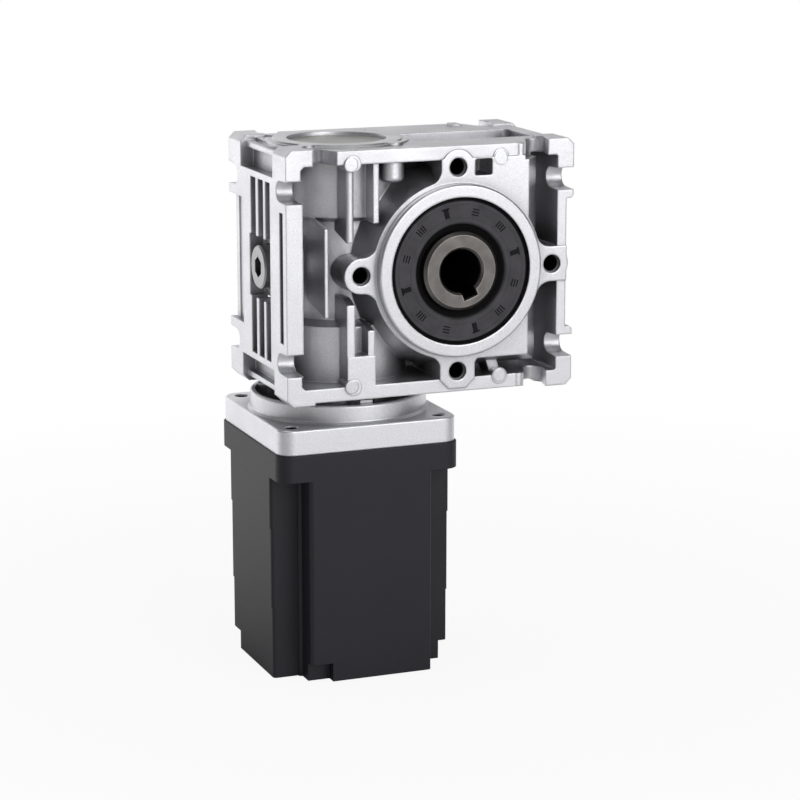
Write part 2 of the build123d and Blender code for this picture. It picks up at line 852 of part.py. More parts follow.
def output_seal(sign):
    """A lip seal for the output shaft, with its face towards sign times Y."""
    outer_r = output_bearing_od / 2 - press_gap
    lip_r = output_shaft_d / 2 + running_gap
    back = output_seal_back
    face = back + output_seal_wide
    outline = [
        (outer_r, back),
        (outer_r, face - 1.3),
        (outer_r - 0.4, face - 0.9),
        (outer_r - 1.1, face - 0.9),
        (outer_r - 1.3, face),
        (lip_r + 3.0, face),
        (lip_r + 2.5, face - 0.5),
        (lip_r + 2.3, face - 1.8),
        (lip_r, face - 3.0),
        (lip_r, face - 3.6),
        (lip_r + 1.2, face - 4.4),
        (lip_r + 1.6, back),
    ]
    return turned_y([(r, sign * y) for r, y in outline])


def worm_seal():
    """The lip seal round the worm's input end."""
    top = worm_seal_low + worm_seal_wide
    outer_r = lower_bearing_od / 2 - press_gap
    lip_r = lower_bearing_bore / 2 + running_gap
    outline = [
        (outer_r, top),
        (outer_r, top - worm_seal_wide + 0.5),
        (outer_r - 0.6, top - worm_seal_wide),
        (lip_r + 2.2, top - worm_seal_wide),
        (lip_r, top - worm_seal_wide + 2),
        (lip_r, top - worm_seal_wide + 2.6),
        (lip_r + 2.0, top - worm_seal_wide + 3.4),
        (lip_r + 2.0, top),
    ]
    return turned_z(outline, worm_x)


def circlip(seat_r, z_low):
    """An inside circlip that sits in its groove, open between its two eyes."""
    outer_r = seat_r + circlip_deep - 0.1
    inner_r = seat_r - 1.8
    z_range = (z_low, z_low + circlip_thick)
    ring = rod_z(outer_r, z_range) - rod_z(inner_r, (z_low - 1, z_low + 3))
    ring -= block((-2.0, 2.0), (0, outer_r + 1), (z_low - 1, z_low + 3))
    for sign in (-1, 1):
        eye = rod_z(1.9, z_range, sign * 3.9, seat_r - 2.2)
        eye -= rod_z(0.8, (z_low - 1, z_low + 3), sign * 3.9, seat_r - 2.2)
        ring += eye
    return Pos(worm_x, 0, 0) * ring


def end_cap():
    """The pressed cap that closes the upper bearing bore."""
    top = case_half_height - cap_set_back
    outer_r = upper_bearing_od / 2 - press_gap
    outline = [
        (0, top - 0.25),
        (outer_r - 2.4, top - 0.25),
        (outer_r - 1.4, top),
        (outer_r - 0.5, top),
        (outer_r, top - 0.5),
        (outer_r, top - cap_thick),
        (outer_r - 1.2, top - cap_thick),
        (outer_r - 1.2, top - 1.3),
        (0, top - 1.3),
    ]
    return turned_z(outline, worm_x)


def oil_plug():
    """The screw plug in the left face, with a hexagon socket."""
    face = plug_face
    seat = face + plug_head_long
    head = rod_x(plug_head_d / 2, (face, seat))
    head = chamfer(head.edges().group_by(Axis.X)[0], 0.5)
    thread = rod_x(plug_thread_d / 2 - press_gap, (seat - 0.1, worm_x - worm_cavity_r - 0.6))
    hexagon = RegularPolygon(plug_hex / 2, 6, major_radius=False)
    socket = Rot(0, 90, 0) * extrude(hexagon, amount=2.8)
    return head + thread - Pos(face, 0, 0) * socket


def plug_washer():
    """The sealing ring under the plug's head."""
    ring = rod_x(plug_head_d / 2 + 0.3, (plug_seat - washer_thick, plug_seat))
    return ring - rod_x(plug_thread_d / 2 + part_gap, (plug_face, plug_seat + 1))


def adapter_flange():
    """The square flange with its round cup, pilot ring, floor and holes."""
    z_range = (motor_top, plate_top)
    plate = extrude(RectangleRounded(plate_side, plate_side, plate_corner_r), amount=plate_thick)
    plate = Pos(0, 0, motor_top) * plate
    plate = chamfer(plate.edges().group_by(Axis.Z)[-1], 0.4)
    cup_r = cup_d / 2
    body = plate + turned_z(
        [
            (0, plate_top - 0.5),
            (cup_r + 0.8, plate_top - 0.5),
            (cup_r + 0.8, plate_top),
            (cup_r, plate_top + 0.8),
            (cup_r, cup_top - 0.5),
            (cup_r - 0.5, cup_top),
            (0, cup_top),
        ]
    )
    well_r = cup_r - cup_wall
    body -= rod_z(well_r, (adapter_floor, cup_top + 1))
    pilot_r = lower_bearing_od / 2 - press_gap
    pilot_top = -case_half_height + pilot_height
    pilot = rod_z(pilot_r, (adapter_floor - 0.5, pilot_top))
    pilot -= rod_z(pilot_r - pilot_wall, (adapter_floor - 1, pilot_top + 1))
    body += pilot
    body -= rod_z(pilot_r - pilot_wall, (motor_top - 1, adapter_floor + 1))
    half = motor_hole_square / 2
    hole_r = small_screw_d / 2 + press_gap
    sink_low, sink_high = plate_top - 0.4, plate_top + 0.1
    sink = turned_z([(0, sink_high), (hole_r + 0.45, sink_high), (hole_r, sink_low), (0, sink_low)])
    for sx in (-1, 1):
        for sy in (-1, 1):
            x, y = sx * half, sy * half
            body -= rod_z(hole_r, (motor_top - 1, plate_top + 1), x, y)
            body -= Pos(x, y, 0) * sink
    body = Pos(worm_x, 0, 0) * body
    for x, y in spacer_places():
        body -= rod_z(small_screw_d / 2 + 0.2, (z_range[0] - 1, adapter_floor + 1), x, y)
        body -= rod_z(small_head_d / 2 + 0.2, (z_range[0] - 1, z_range[0] + small_head_long + 0.3), x, y)
    return body


def hex_spacers():
    """Hexagon spacers between the gearbox foot and the adapter's floor."""
    spacers = []
    length = -case_half_height - adapter_floor
    for index, (x, y) in enumerate(spacer_places()):
        outline = RegularPolygon(spacer_flats / 2, 6, major_radius=False)
        body = extrude(outline, amount=length)
        body -= rod_z(small_screw_d / 2 + 0.1, (-1, length + 1))
        turn = Rot(0, 0, index * 360 / spacer_count)
        spacers.append(Pos(x, y, adapter_floor) * turn * body)
    return spacers


def cap_screw(diameter, head_d, head_long, length):
    """A socket head screw that points up, with the underside of its head at Z = 0."""
    screw = rod_z(head_d / 2, (-head_long, 0))
    screw = chamfer(screw.edges().group_by(Axis.Z)[0], 0.3)
    screw += rod_z(diameter / 2, (-0.1, length))
    socket = extrude(RegularPolygon(0.4 * diameter, 6), amount=head_long / 2)
    return screw - Pos(0, 0, -head_long) * socket


def spacer_screws():
    """Screws from under the adapter, through the spacers, into the gearbox."""
    under = motor_top + small_head_long + 0.3
    length = -case_half_height + 6.5 - under
    screw = cap_screw(small_screw_d, small_head_d, small_head_long, length)
    return [Pos(x, y, under) * screw for x, y in spacer_places()]


def motor_screws():
    """Screws in the motor's corner notches, up through its front cover into the adapter."""
    under = motor_top - band_thick + motor_head_sink
    length = plate_top - 2.5 - under
    screw = cap_screw(small_screw_d, small_head_d, small_head_long, length)
    half = motor_hole_square / 2
    places = [(sx * half, sy * half) for sx in (-1, 1) for sy in (-1, 1)]
    return [Pos(worm_x + x, y, under) * screw for x, y in places]


def motor_section(side_x):
    """The motor's cross section: a square with a square notch and a bead at each corner."""
    inner = motor_side - 2 * notch_wide
    long_way = RectangleRounded(side_x, inner, notch_edge_r)
    cross_way = RectangleRounded(inner, motor_side, notch_edge_r)
    rib = 2.4
    core = RectangleRounded(inner + rib, inner + rib, rib / 2)
    return long_way + cross_way + core


def through_holes(body, z_range, radius):
    """The body with the four through screws' holes drilled."""
    half = through_screw_square / 2
    for sx in (-1, 1):
        for sy in (-1, 1):
            body -= rod_z(radius, z_range, sx * half, sy * half)
    return body


def motor_front_cover():
    """The front end cover: mounting band, bearing seat and skirt down to the stack."""
    band_low = motor_top - band_thick
    band = extrude(RectangleRounded(motor_side, motor_side, plate_corner_r), amount=band_thick)
    band = chamfer(band.edges().group_by(Axis.Z)[-1], 0.3)
    body = Pos(0, 0, band_low) * band
    body += Pos(0, 0, stack_top) * extrude(motor_section(motor_side), amount=front_cover_skirt + 0.1)
    seat_r = motor_bearing_od / 2
    body -= rod_z(motor_cavity_r, (stack_top - 1, band_low - 3.5))
    seat_low = front_bearing_top - motor_bearing_wide
    body += rod_z(seat_r + 3, (seat_low, motor_top - 1))
    body -= rod_z(seat_r, (seat_low - 1, front_bearing_top))
    body -= rod_z(motor_bearing_bore / 2 + 2, (stack_top, motor_top + 1))
    half = motor_hole_square / 2
    for sx in (-1, 1):
        for sy in (-1, 1):
            x, y = sx * half, sy * half
            body -= rod_z(small_screw_d / 2 + 0.2, (band_low - 1, motor_top + 1), x, y)
            body -= rod_z(small_head_d / 2 + 0.2, (band_low, band_low + motor_head_sink), x, y)
    body = through_holes(body, (stack_top - 1, stack_top + 10), through_screw_d / 2 + press_gap)
    return Pos(worm_x, 0, 0) * body


def stator_core():
    """The laminated stack: notched square outside, teeth and slots inside."""
    outline = motor_section(motor_side - 2 * seam_step)
    bore = Circle(stator_bore_r)
    slots = Circle(slot_outer_r) - Circle(slot_inner_r)
    slot_deep = slot_outer_r - slot_inner_r
    tooth = Pos(slot_inner_r + slot_deep / 2, 0) * Rectangle(slot_deep + 2, stator_tooth_wide)
    for index in range(slot_count):
        slots -= Rot(0, 0, index * 360 / slot_count) * tooth
    opening = Pos((stator_bore_r + slot_inner_r) / 2, 0) * Rectangle(slot_inner_r - stator_bore_r + 1, 2.0)
    section = outline - bore - slots
    for index in range(slot_count):
        section -= Rot(0, 0, (index + 0.5) * 360 / slot_count) * opening
    body = extrude(section, amount=stack_length)
    body = through_holes(body, (-1, stack_length + 1), through_screw_d / 2 + 0.2)
    return Pos(worm_x, 0, stack_bottom) * body


def stator_windings():
    """One coil round each stator tooth, as a closed rounded frame."""
    wire = 1.7
    slack = 0.15
    near = slot_inner_r + 0.6
    far = slot_outer_r - 0.7
    inner_wide = stator_tooth_wide + 2 * slack
    inner_tall = stack_length + 2 * slack
    outer = RectangleRounded(inner_wide + 2 * wire, inner_tall + 2 * wire, 1.4)
    frame = outer - Rectangle(inner_wide, inner_tall)
    coil = extrude(Plane.YZ * frame, amount=far - near)
    coils = []
    for index in range(slot_count):
        turn = Rot(0, 0, index * 360 / slot_count)
        middle = (stack_top + stack_bottom) / 2
        coils.append(Pos(worm_x, 0, middle) * turn * Pos(near, 0, 0) * coil)
    return coils


def motor_rear_cover():
    """The rear end cover: skirt, bearing seat, lead opening and pinwheel foot."""
    length = stack_bottom - motor_bottom
    section = motor_section(motor_side - 4 * seam_step)
    body = Pos(0, 0, motor_bottom) * extrude(section, amount=length)
    seat_r = motor_bearing_od / 2
    seat_top = rear_bearing_top
    seat_floor = rear_seat_floor
    body -= rod_z(motor_cavity_r, (seat_top, stack_bottom + 1))
    body -= rod_z(seat_r, (seat_floor, seat_top + 1))
    body -= rod_z(motor_bearing_bore / 2 + 1, (seat_floor - 2, seat_top))
    near = motor_side / 2
    start = near - notch_wide
    low = (motor_bottom - 1, motor_bottom + foot_cut_height)
    cut = block((-start - 2, -start + foot_cut_long), (-near - 1, -near + foot_cut_deep), low)
    for index in range(4):
        body -= Rot(0, 0, 90 * index) * cut
    half_wide = lead_opening_wide / 2
    lead_low = seat_top + lead_opening_rise
    lead_high = lead_low + lead_opening_high
    body -= block((-half_wide, half_wide), (motor_cavity_r - 5, near + 1), (lead_low, lead_high))
    drilled = (stack_bottom - 8, stack_bottom + 1)
    body = through_holes(body, drilled, through_screw_d / 2 + press_gap)
    return Pos(worm_x, 0, 0) * body


def lead_grommet():
    """The rubber bush in the rear cover's lead opening, without the lead."""
    low = rear_bearing_top + lead_opening_rise + press_gap
    high = low + lead_opening_high - 2 * press_gap
    near = motor_side / 2
    half_wide = lead_opening_wide / 2 - press_gap
    body = block((-half_wide, half_wide), (motor_cavity_r + 0.1, near - 0.4), (low, high))
    middle = (low + high) / 2
    for x in (-3, 0, 3):
        body -= rod_y(0.8, (motor_cavity_r - 3, near + 1), x, middle)
    return Pos(worm_x, 0, 0) * body


def motor_shaft():
    """The motor shaft: rotor seat, two bearing seats and the end that drives the worm."""
    bearing_r = motor_bearing_bore / 2
    core_r = motor_shaft_d / 2
    drive_r = worm_bore_d / 2
    front_seat = front_bearing_top
    rear_seat = rear_bearing_top
    top = drive_end
    outline = [
        (0, top),
        (drive_r - 0.5, top),
        (drive_r, top - 0.5),
        (drive_r, motor_top + 2),
        (bearing_r, motor_top + 2),
        (bearing_r, front_seat - motor_bearing_wide),
        (core_r, front_seat - motor_bearing_wide),
        (core_r, rear_seat),
        (bearing_r, rear_seat),
        (bearing_r, rear_seat - motor_bearing_wide),
        (0, rear_seat - motor_bearing_wide),
    ]
    shaft = turned_z(outline)
    key_half = drive_key_wide / 2
    key_top = top - drive_key_drop
    key_z = (key_top - drive_key_long, key_top)
    shaft -= block((drive_r - key_half, drive_r + 1), (-key_half, key_half), key_z)
    return Pos(worm_x, 0, 0) * shaft


def shaft_key():
    """The key between motor shaft and worm."""
    key_top = drive_end - drive_key_drop
    key_half = drive_key_wide / 2
    drive_r = worm_bore_d / 2
    body = block(
        (drive_r - key_half + press_gap, drive_r + key_half - 0.1),
        (-key_half + press_gap, key_half - press_gap),
        (key_top - drive_key_long + press_gap, key_top - press_gap),
    )
    return Pos(worm_x, 0, 0) * body


def rotor_core():
    """The laminated rotor core on the motor shaft."""
    outer_r = stator_bore_r - air_gap - magnet_thick - press_gap
    z_range = (stack_bottom - 1, stack_top + 1)
    bore_r = motor_shaft_d / 2 + press_gap
    core = rod_z(outer_r, z_range, worm_x)
    return core - rod_z(bore_r, (z_range[0] - 1, z_range[1] + 1), worm_x)


def rotor_magnets():
    """The curved magnets round the rotor core."""
    outer_r = stator_bore_r - air_gap
    inner_r = outer_r - magnet_thick
    z_range = (stack_bottom - 1, stack_top + 1)
    ring = rod_z(outer_r, z_range) - rod_z(inner_r, (z_range[0] - 1, z_range[1] + 1))
    half = 180 / magnet_count - 2.5
    reach = 2 * outer_r
    wedge = plate_z(
        [
            (0, 0),
            (reach * cos(radians(half)), -reach * sin(radians(half))),
            (reach * cos(radians(half)), reach * sin(radians(half))),
        ],
        z_range,
    )
    magnet = ring & wedge
    turns = [Rot(0, 0, index * 360 / magnet_count) for index in range(magnet_count)]
    return [Pos(worm_x, 0, 0) * turn * magnet for turn in turns]


def wave_washer():
    """The spring washer behind the rear motor bearing."""
    low, high = rear_seat_floor + 0.1, rear_seat_floor + washer_room - 0.1
    ring = rod_z(motor_bearing_od / 2 - 0.4, (low, high), worm_x)
    return ring - rod_z(motor_bearing_od / 2 - 3, (low - 1, high + 1), worm_x)


def sensor_board():
    """The ring of circuit board below the coils."""
    low = board_top - board_thick
    ring = rod_z(motor_cavity_r - 0.2, (low, board_top), worm_x)
    return ring - rod_z(slot_inner_r - 1.0, (low - 1, board_top + 1), worm_x)


def hall_sensors():
    """The three sensors on the board, close to the magnets' ends."""
    high = board_top - board_thick - press_gap
    chip = block((slot_inner_r - 0.8, slot_inner_r + 2.2), (-2, 2), (high - 1.6, high))
    pitch = 360 / slot_count
    turns = [Rot(0, 0, -90 + pitch * index) for index in range(sensor_count)]
    return [Pos(worm_x, 0, 0) * turn * chip for turn in turns]


def through_screws():
    """The long screws that clamp the stack between the covers, from the rear notches."""
    half = through_screw_square / 2
    z_range = (stack_bottom - 7.5, stack_top + 9.5)
    places = [(sx * half, sy * half) for sx in (-1, 1) for sy in (-1, 1)]
    return [rod_z(through_screw_d / 2, z_range, worm_x + x, y) for x, y in places]


def build_nodes():
    """Every named piece of the gear motor."""
    nodes = {
        "gearbox_housing": housing(),
        "rear_cover": rear_cover(),
        "cover_screws": cover_screws(),
        "output_shaft": output_shaft(),
        "worm_wheel_rim": wheel_rim(),
        "front_output_seal": output_seal(-1),
        "rear_output_seal": output_seal(1),
        "worm_shaft": worm_shaft(),
        "worm_seal": worm_seal(),
        "end_cap": end_cap(),
        "oil_plug": oil_plug(),
        "plug_washer": plug_washer(),
        "adapter_flange": adapter_flange(),
        "hex_spacers": hex_spacers(),
        "spacer_screws": spacer_screws(),
        "motor_screws": motor_screws(),
        "motor_front_cover": motor_front_cover(),
        "stator_core": stator_core(),
        "stator_windings": stator_windings(),
        "motor_rear_cover": motor_rear_cover(),
        "lead_grommet": lead_grommet(),
        "motor_shaft": motor_shaft(),
        "shaft_key": shaft_key(),
        "rotor_core": rotor_core(),
        "rotor_magnets": rotor_magnets(),
        "wave_washer": wave_washer(),
        "sensor_board": sensor_board(),
        "hall_sensors": hall_sensors(),
        "through_screws": through_screws(),
    }
    upper_clip = upper_bearing_foot + upper_bearing_wide
    nodes["upper_circlip"] = circlip(upper_bearing_od / 2, upper_clip)
    nodes["lower_circlip"] = circlip(lower_bearing_od / 2, lower_circlip_low)
    half_wide = output_bearing_wide / 2
    bearing_y = bearing_start + press_gap + half_wide
    inner_r, outer_r = output_shaft_d / 2, output_bearing_od / 2
    rings = ball_bearing(inner_r, outer_r, output_bearing_wide, output_ball_r, output_ball_count)
    for name, sign in (("front_output", -1), ("rear_output", 1)):
        place = Location((0, sign * bearing_y, 0)) * Location((0, 0, 0), (90, 0, 0))
        nodes[name + "_bearing_inner_ring"] = rings[0].moved(place)
        nodes[name + "_bearing_outer_ring"] = rings[1].moved(place)
        nodes[name + "_bearing_balls"] = [ball.moved(place) for ball in rings[2]]
    upper = (upper_bearing_bore, upper_bearing_od, upper_bearing_wide)
    lower = (lower_bearing_bore, lower_bearing_od, lower_bearing_wide)
    motor = (motor_bearing_bore, motor_bearing_od, motor_bearing_wide)
    upright = (
        ("upper_worm", upper, upper_ball_r, upper_ball_count, upper_clip),
        ("lower_worm", lower, lower_ball_r, lower_ball_count, lower_bearing_top),
        ("front_motor", motor, motor_ball_r, motor_ball_count, front_bearing_top),
        ("rear_motor", motor, motor_ball_r, motor_ball_count, rear_bearing_top),
    )
    for name, (bore, outside, wide), ball_r, count, ring_top in upright:
        rings = ball_bearing(bore / 2, outside / 2, wide, ball_r, count)
        place = Location((worm_x, 0, ring_top - wide / 2))
        nodes[name + "_bearing_inner_ring"] = rings[0].moved(place)
        nodes[name + "_bearing_outer_ring"] = rings[1].moved(place)
        nodes[name + "_bearing_balls"] = [ball.moved(place) for ball in rings[2]]
    return nodes


def solids_of(shape):
    """The solids in a shape or in a list of shapes."""
    if isinstance(shape, list):
        return [solid for piece in shape for solid in piece.solids()]
    return list(shape.solids())


os.makedirs("parts", exist_ok=True)
for node, shape in build_nodes().items():
    solids = solids_of(shape)
    whole = solids[0] if len(solids) == 1 else Compound(children=solids)
    export_step(whole, f"parts/{node}.step")
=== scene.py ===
"""Finishes, small detail and a studio for a brushless motor with a worm gearbox."""

import math

import bmesh
import bpy
import numpy as np
from bpy.props import FloatProperty, FloatVectorProperty, IntProperty, PointerProperty
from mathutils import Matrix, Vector


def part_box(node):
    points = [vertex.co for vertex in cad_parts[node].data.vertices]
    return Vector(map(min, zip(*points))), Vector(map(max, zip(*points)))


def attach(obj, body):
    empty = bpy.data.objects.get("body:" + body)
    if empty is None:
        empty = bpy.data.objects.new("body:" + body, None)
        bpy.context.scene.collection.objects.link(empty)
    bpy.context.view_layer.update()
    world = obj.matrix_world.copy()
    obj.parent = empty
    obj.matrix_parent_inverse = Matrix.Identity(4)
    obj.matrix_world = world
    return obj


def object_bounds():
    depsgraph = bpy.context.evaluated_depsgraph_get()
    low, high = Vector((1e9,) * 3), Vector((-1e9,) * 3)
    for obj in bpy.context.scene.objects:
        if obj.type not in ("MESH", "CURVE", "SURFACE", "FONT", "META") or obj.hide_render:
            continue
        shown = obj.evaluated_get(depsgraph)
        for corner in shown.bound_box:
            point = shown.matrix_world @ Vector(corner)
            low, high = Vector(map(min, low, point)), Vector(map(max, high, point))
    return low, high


bl_info = {
    "name": "Gear Motor Dressing",
    "version": (1, 0, 0),
    "blender": (4, 5, 0),
    "location": "View3D > Sidebar > Gear Motor",
    "description": "Cast, coated and moulded finishes, threads and moulded marks for a worm gear motor",
    "category": "Object",
}

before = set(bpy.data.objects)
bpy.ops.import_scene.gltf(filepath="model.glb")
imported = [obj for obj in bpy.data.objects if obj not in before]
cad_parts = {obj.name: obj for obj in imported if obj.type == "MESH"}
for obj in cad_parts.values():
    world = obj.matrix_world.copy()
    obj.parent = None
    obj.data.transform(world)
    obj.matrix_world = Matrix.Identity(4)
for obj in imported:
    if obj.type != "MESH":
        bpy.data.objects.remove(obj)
cad_box = [list(corner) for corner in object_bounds()]

MM = 0.001

# Places on the object, from the centre of the output bore

RAIL_FACE = 28.0 * MM
BOSS_FACE = 28.5 * MM
MOUNT_RADIUS = 32.5 * MM
HOLE_RADIUS = 3.0 * MM
SEAL_FACE = 30.9 * MM
SHAFT_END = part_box("output_shaft")[1].y
BORE_REACH = 9.9 * MM
MOTOR_AXIS_X = sum(c.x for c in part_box("motor_shaft")) / 2
PLATE_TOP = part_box("adapter_flange")[0].z + 8.0 * MM
MOTOR_SEAMS = [corner.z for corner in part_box("stator_core")]
SEAL_LIP = 15.0 * MM
SEAL_RIM = 22.3 * MM
SEAL_RIDGES = {"inner": 17.0 * MM, "outer": 21.0 * MM}

# Fixed values of meshes and finishes

WELD_GAP = 0.001 * MM
EMBEDDED = 0.05 * MM
DEEP_BLACK = (0.006, 0.006, 0.0065, 1.0)
GAP_BLACK = (0.002, 0.002, 0.002, 1.0)


# Settings that the user may change


def length_prop(name, description, default):
    """A length that the user may change, in metres."""
    return FloatProperty(name=name, description=description, default=default, unit="LENGTH", precision=6)


def colour_prop(name, description, default):
    """A surface colour that the user may change."""
    return FloatVectorProperty(
        name=name, description=description, default=default, subtype="COLOR", min=0, max=1
    )


class GearMotorSizes(bpy.types.PropertyGroup):
    """Sizes of the detail that the castings, threads and seals get."""

    cast_soft: length_prop("Cast edges", "How soft the casting's edges look", 0.7 * MM)
    plate_soft: length_prop("Plate edges", "How soft the adapter's edges look", 0.5 * MM)
    coat_soft: length_prop("Motor edges", "How soft the motor's edges look", 0.4 * MM)
    trim_soft: length_prop("Trim edges", "How soft small parts' edges look", 0.2 * MM)
    cast_grain: length_prop("Cast grain", "Grain of the blasted casting", 0.4 * MM)
    coat_grain: length_prop("Coat grain", "Grain of the black coating", 0.2 * MM)
    stud_d: length_prop("Stud size", "Size of the stud ends on the rails", 5.4 * MM)
    stud_proud: length_prop("Stud height", "How far the studs stand out", 0.4 * MM)
    stud_left: length_prop("Left studs", "Place of the studs beside the worm", -35.0 * MM)
    stud_right: length_prop("Right studs", "Place of the studs beside the wheel", 14.6 * MM)
    stud_height: length_prop("Stud level", "Height of the studs from the bore", 35.2 * MM)
    mount_thread_d: length_prop("Mount thread", "Nominal size of the mounting threads", 6.0 * MM)
    mount_thread_pitch: length_prop("Mount pitch", "Pitch of the mounting threads", 1.0 * MM)
    mount_thread_long: length_prop("Mount depth", "Length of the mounting threads", 9.5 * MM)
    plate_hole_d: length_prop("Plate hole size", "Size of the plate's holes", 4.0 * MM)
    plate_hole_half: length_prop("Plate holes", "Half the square of the plate's holes", 24.75 * MM)
    mark_radius: length_prop("Mark circle", "Radius of the seal's moulded marks", 19.0 * MM)
    mark_rise: length_prop("Mark height", "Height of the seal's moulded marks", 0.3 * MM)
    mark_count: IntProperty(name="Marks", description="Groups of moulded marks", default=12, min=3)


class GearMotorColours(bpy.types.PropertyGroup):
    """Colours of the object's finishes."""

    casting: colour_prop("Casting", "Blasted die cast aluminium", (0.86, 0.86, 0.895))
    plate: colour_prop("Adapter", "Satin machined aluminium", (0.91, 0.91, 0.945))
    coat: colour_prop("Motor", "Satin black coating", (0.0135, 0.013, 0.019))
    shaft: colour_prop("Shaft", "Turned steel of the hollow shaft", (0.21, 0.196, 0.188))
    bearing: colour_prop("Bearing steel", "Ground steel", (0.56, 0.56, 0.57))
    screw: colour_prop("Screws", "Black oxide", (0.08, 0.08, 0.085))
    zinc: colour_prop("Zinc", "Zinc plated steel", (0.48, 0.48, 0.49))
    cap: colour_prop("Cap", "Pressed end cap", (0.60, 0.60, 0.58))
    bronze: colour_prop("Bronze", "Wheel rim", (0.62, 0.36, 0.15))
    copper: colour_prop("Copper", "Enamelled wire", (0.60, 0.24, 0.09))
    magnet: colour_prop("Magnets", "Nickel plated magnets", (0.34, 0.34, 0.36))
    rubber: colour_prop("Rubber", "Seals and bushes", (0.060, 0.0565, 0.064))
    board: colour_prop("Board", "Circuit board", (0.02, 0.11, 0.05))


class GearMotorStudio(bpy.types.PropertyGroup):
    """Camera, lamps and floor."""

    camera_place: FloatVectorProperty(
        name="Camera", description="Where the camera stands", default=(-0.3162, -0.7777, 0.1403)
    )
    camera_aim: FloatVectorProperty(
        name="Aim", description="The point it looks at", default=(-0.00838, 0.0, -0.04718)
    )
    lens: FloatProperty(name="Lens", description="Focal length in millimetres", default=117.8)
    key_power: FloatProperty(name="Key", description="Front softbox in watts", default=5.7)
    side_power: FloatProperty(name="Side", description="Left softbox in watts", default=1.1)
    top_power: FloatProperty(name="Top", description="Top softbox in watts", default=1.9)
    ambient: FloatProperty(name="Ambient", description="Light from all round", default=0.30)
    mirrored: FloatProperty(name="Mirrored", description="Surround as metal shows it", default=0.17)
    front_wall: FloatProperty(name="Front wall", description="Wall behind the camera in metal", default=0.5)
    back_wall: FloatProperty(name="Back wall", description="Wall behind the object in metal", default=0.9)
    floor_lift: FloatProperty(name="Floor lift", description="White added to the floor", default=0.91)


# Shader trees


def feed(tree, socket, value):
    """Joins a socket to another one, or sets its value."""
    if isinstance(value, bpy.types.NodeSocket):
        tree.links.new(value, socket)
    else:
        socket.default_value = value


def put(tree, kind, settings=(), **values):
    """A node of one kind, with its settings and its inputs by name."""
    node = tree.nodes.new(kind)
    for key, value in dict(settings).items():
        setattr(node, key, value)
    for key, value in values.items():
        feed(tree, node.inputs[key.replace("_", " ")], value)
    return node


def calc(tree, operation, *values, clamp=False):
    """One arithmetic step on values or sockets."""
    node = tree.nodes.new("ShaderNodeMath")
    node.operation = operation
    node.use_clamp = clamp
    for socket, value in zip(node.inputs, values):
        feed(tree, socket, value)
    return node.outputs[0]


def mix_value(tree, share, first, second):
    """A number between two others."""
    node = tree.nodes.new("ShaderNodeMix")
    feed(tree, node.inputs[0], share)
    feed(tree, node.inputs[2], first)
    feed(tree, node.inputs[3], second)
    return node.outputs[0]


def mix_colour(tree, share, first, second):
    """A colour between two others."""
    node = tree.nodes.new("ShaderNodeMix")
    node.data_type = "RGBA"
    feed(tree, node.inputs[0], share)
    feed(tree, node.inputs[6], first)
    feed(tree, node.inputs[7], second)
    return node.outputs[2]


def ramp(tree, value, low, high, start=0.0, end=1.0):
    """A value carried from one range into another and held at its ends."""
    node = put(tree, "ShaderNodeMapRange", From_Min=low, From_Max=high, To_Min=start, To_Max=end)
    feed(tree, node.inputs["Value"], value)
    return node.outputs[0]


def noise(tree, vector, scale, detail=2.0):
    """Soft noise of a given scale."""
    return put(tree, "ShaderNodeTexNoise", Vector=vector, Scale=scale, Detail=detail).outputs["Fac"]


def group_tree(name, inputs, outputs):
    """An empty node group with named inputs, each with its default, and named outputs."""
    tree = bpy.data.node_groups.new(name, "ShaderNodeTree")
    for label, value in inputs.items():
        kind = "NodeSocketVector" if value is None else "NodeSocketFloat"
        socket = tree.interface.new_socket(name=label, in_out="INPUT", socket_type=kind)
        if value is not None:
            socket.default_value = value
    for label in outputs:
        tree.interface.new_socket(name=label, in_out="OUTPUT", socket_type="NodeSocketFloat")
    given = tree.nodes.new("NodeGroupInput").outputs
    result = tree.nodes.new("NodeGroupOutput").inputs
    return tree, given, result


def fine_grain():
    """Blasted grain: a fine noise and one three times as coarse, added."""
    inputs = {"Vector": None, "Grain Size": 0.3 * MM}
    tree, given, result = group_tree("fine_grain", inputs, ["Height", "Tone"])
    scale = calc(tree, "DIVIDE", 1.0, given["Grain Size"])
    fine = noise(tree, given["Vector"], scale)
    coarse = noise(tree, given["Vector"], calc(tree, "DIVIDE", scale, 3.0))
    height = mix_value(tree, 0.4, fine, coarse)
    feed(tree, result["Height"], height)
    feed(tree, result["Tone"], ramp(tree, fine, 0.3, 0.7))
    return tree


def soft_patches():
    """Broad cloudy patches, as from handling, oil and uneven blasting."""
    inputs = {"Vector": None, "Patch Size": 15 * MM}
    tree, given, result = group_tree("soft_patches", inputs, ["Mask"])
    scale = calc(tree, "DIVIDE", 1.0, given["Patch Size"])
    cloud = noise(tree, given["Vector"], scale, 4.0)
    feed(tree, result["Mask"], ramp(tree, cloud, 0.35, 0.65))
    return tree


def painted_edge_highlight():
    """Where a rounded normal leaves the true one, a corner is close: a painted highlight there."""
    inputs = {"Radius": 0.4 * MM, "Gain": 3.0}
    tree, given, result = group_tree("painted_edge_highlight", inputs, ["Mask"])
    rounded = put(tree, "ShaderNodeBevel", {"samples": 6}, Radius=given["Radius"])
    true = put(tree, "ShaderNodeNewGeometry")
    dot = tree.nodes.new("ShaderNodeVectorMath")
    dot.operation = "DOT_PRODUCT"
    feed(tree, dot.inputs[0], rounded.outputs["Normal"])
    feed(tree, dot.inputs[1], true.outputs["Normal"])
    gap = calc(tree, "SUBTRACT", 1.0, dot.outputs["Value"])
    feed(tree, result["Mask"], calc(tree, "MULTIPLY", gap, given["Gain"], clamp=True))
    return tree


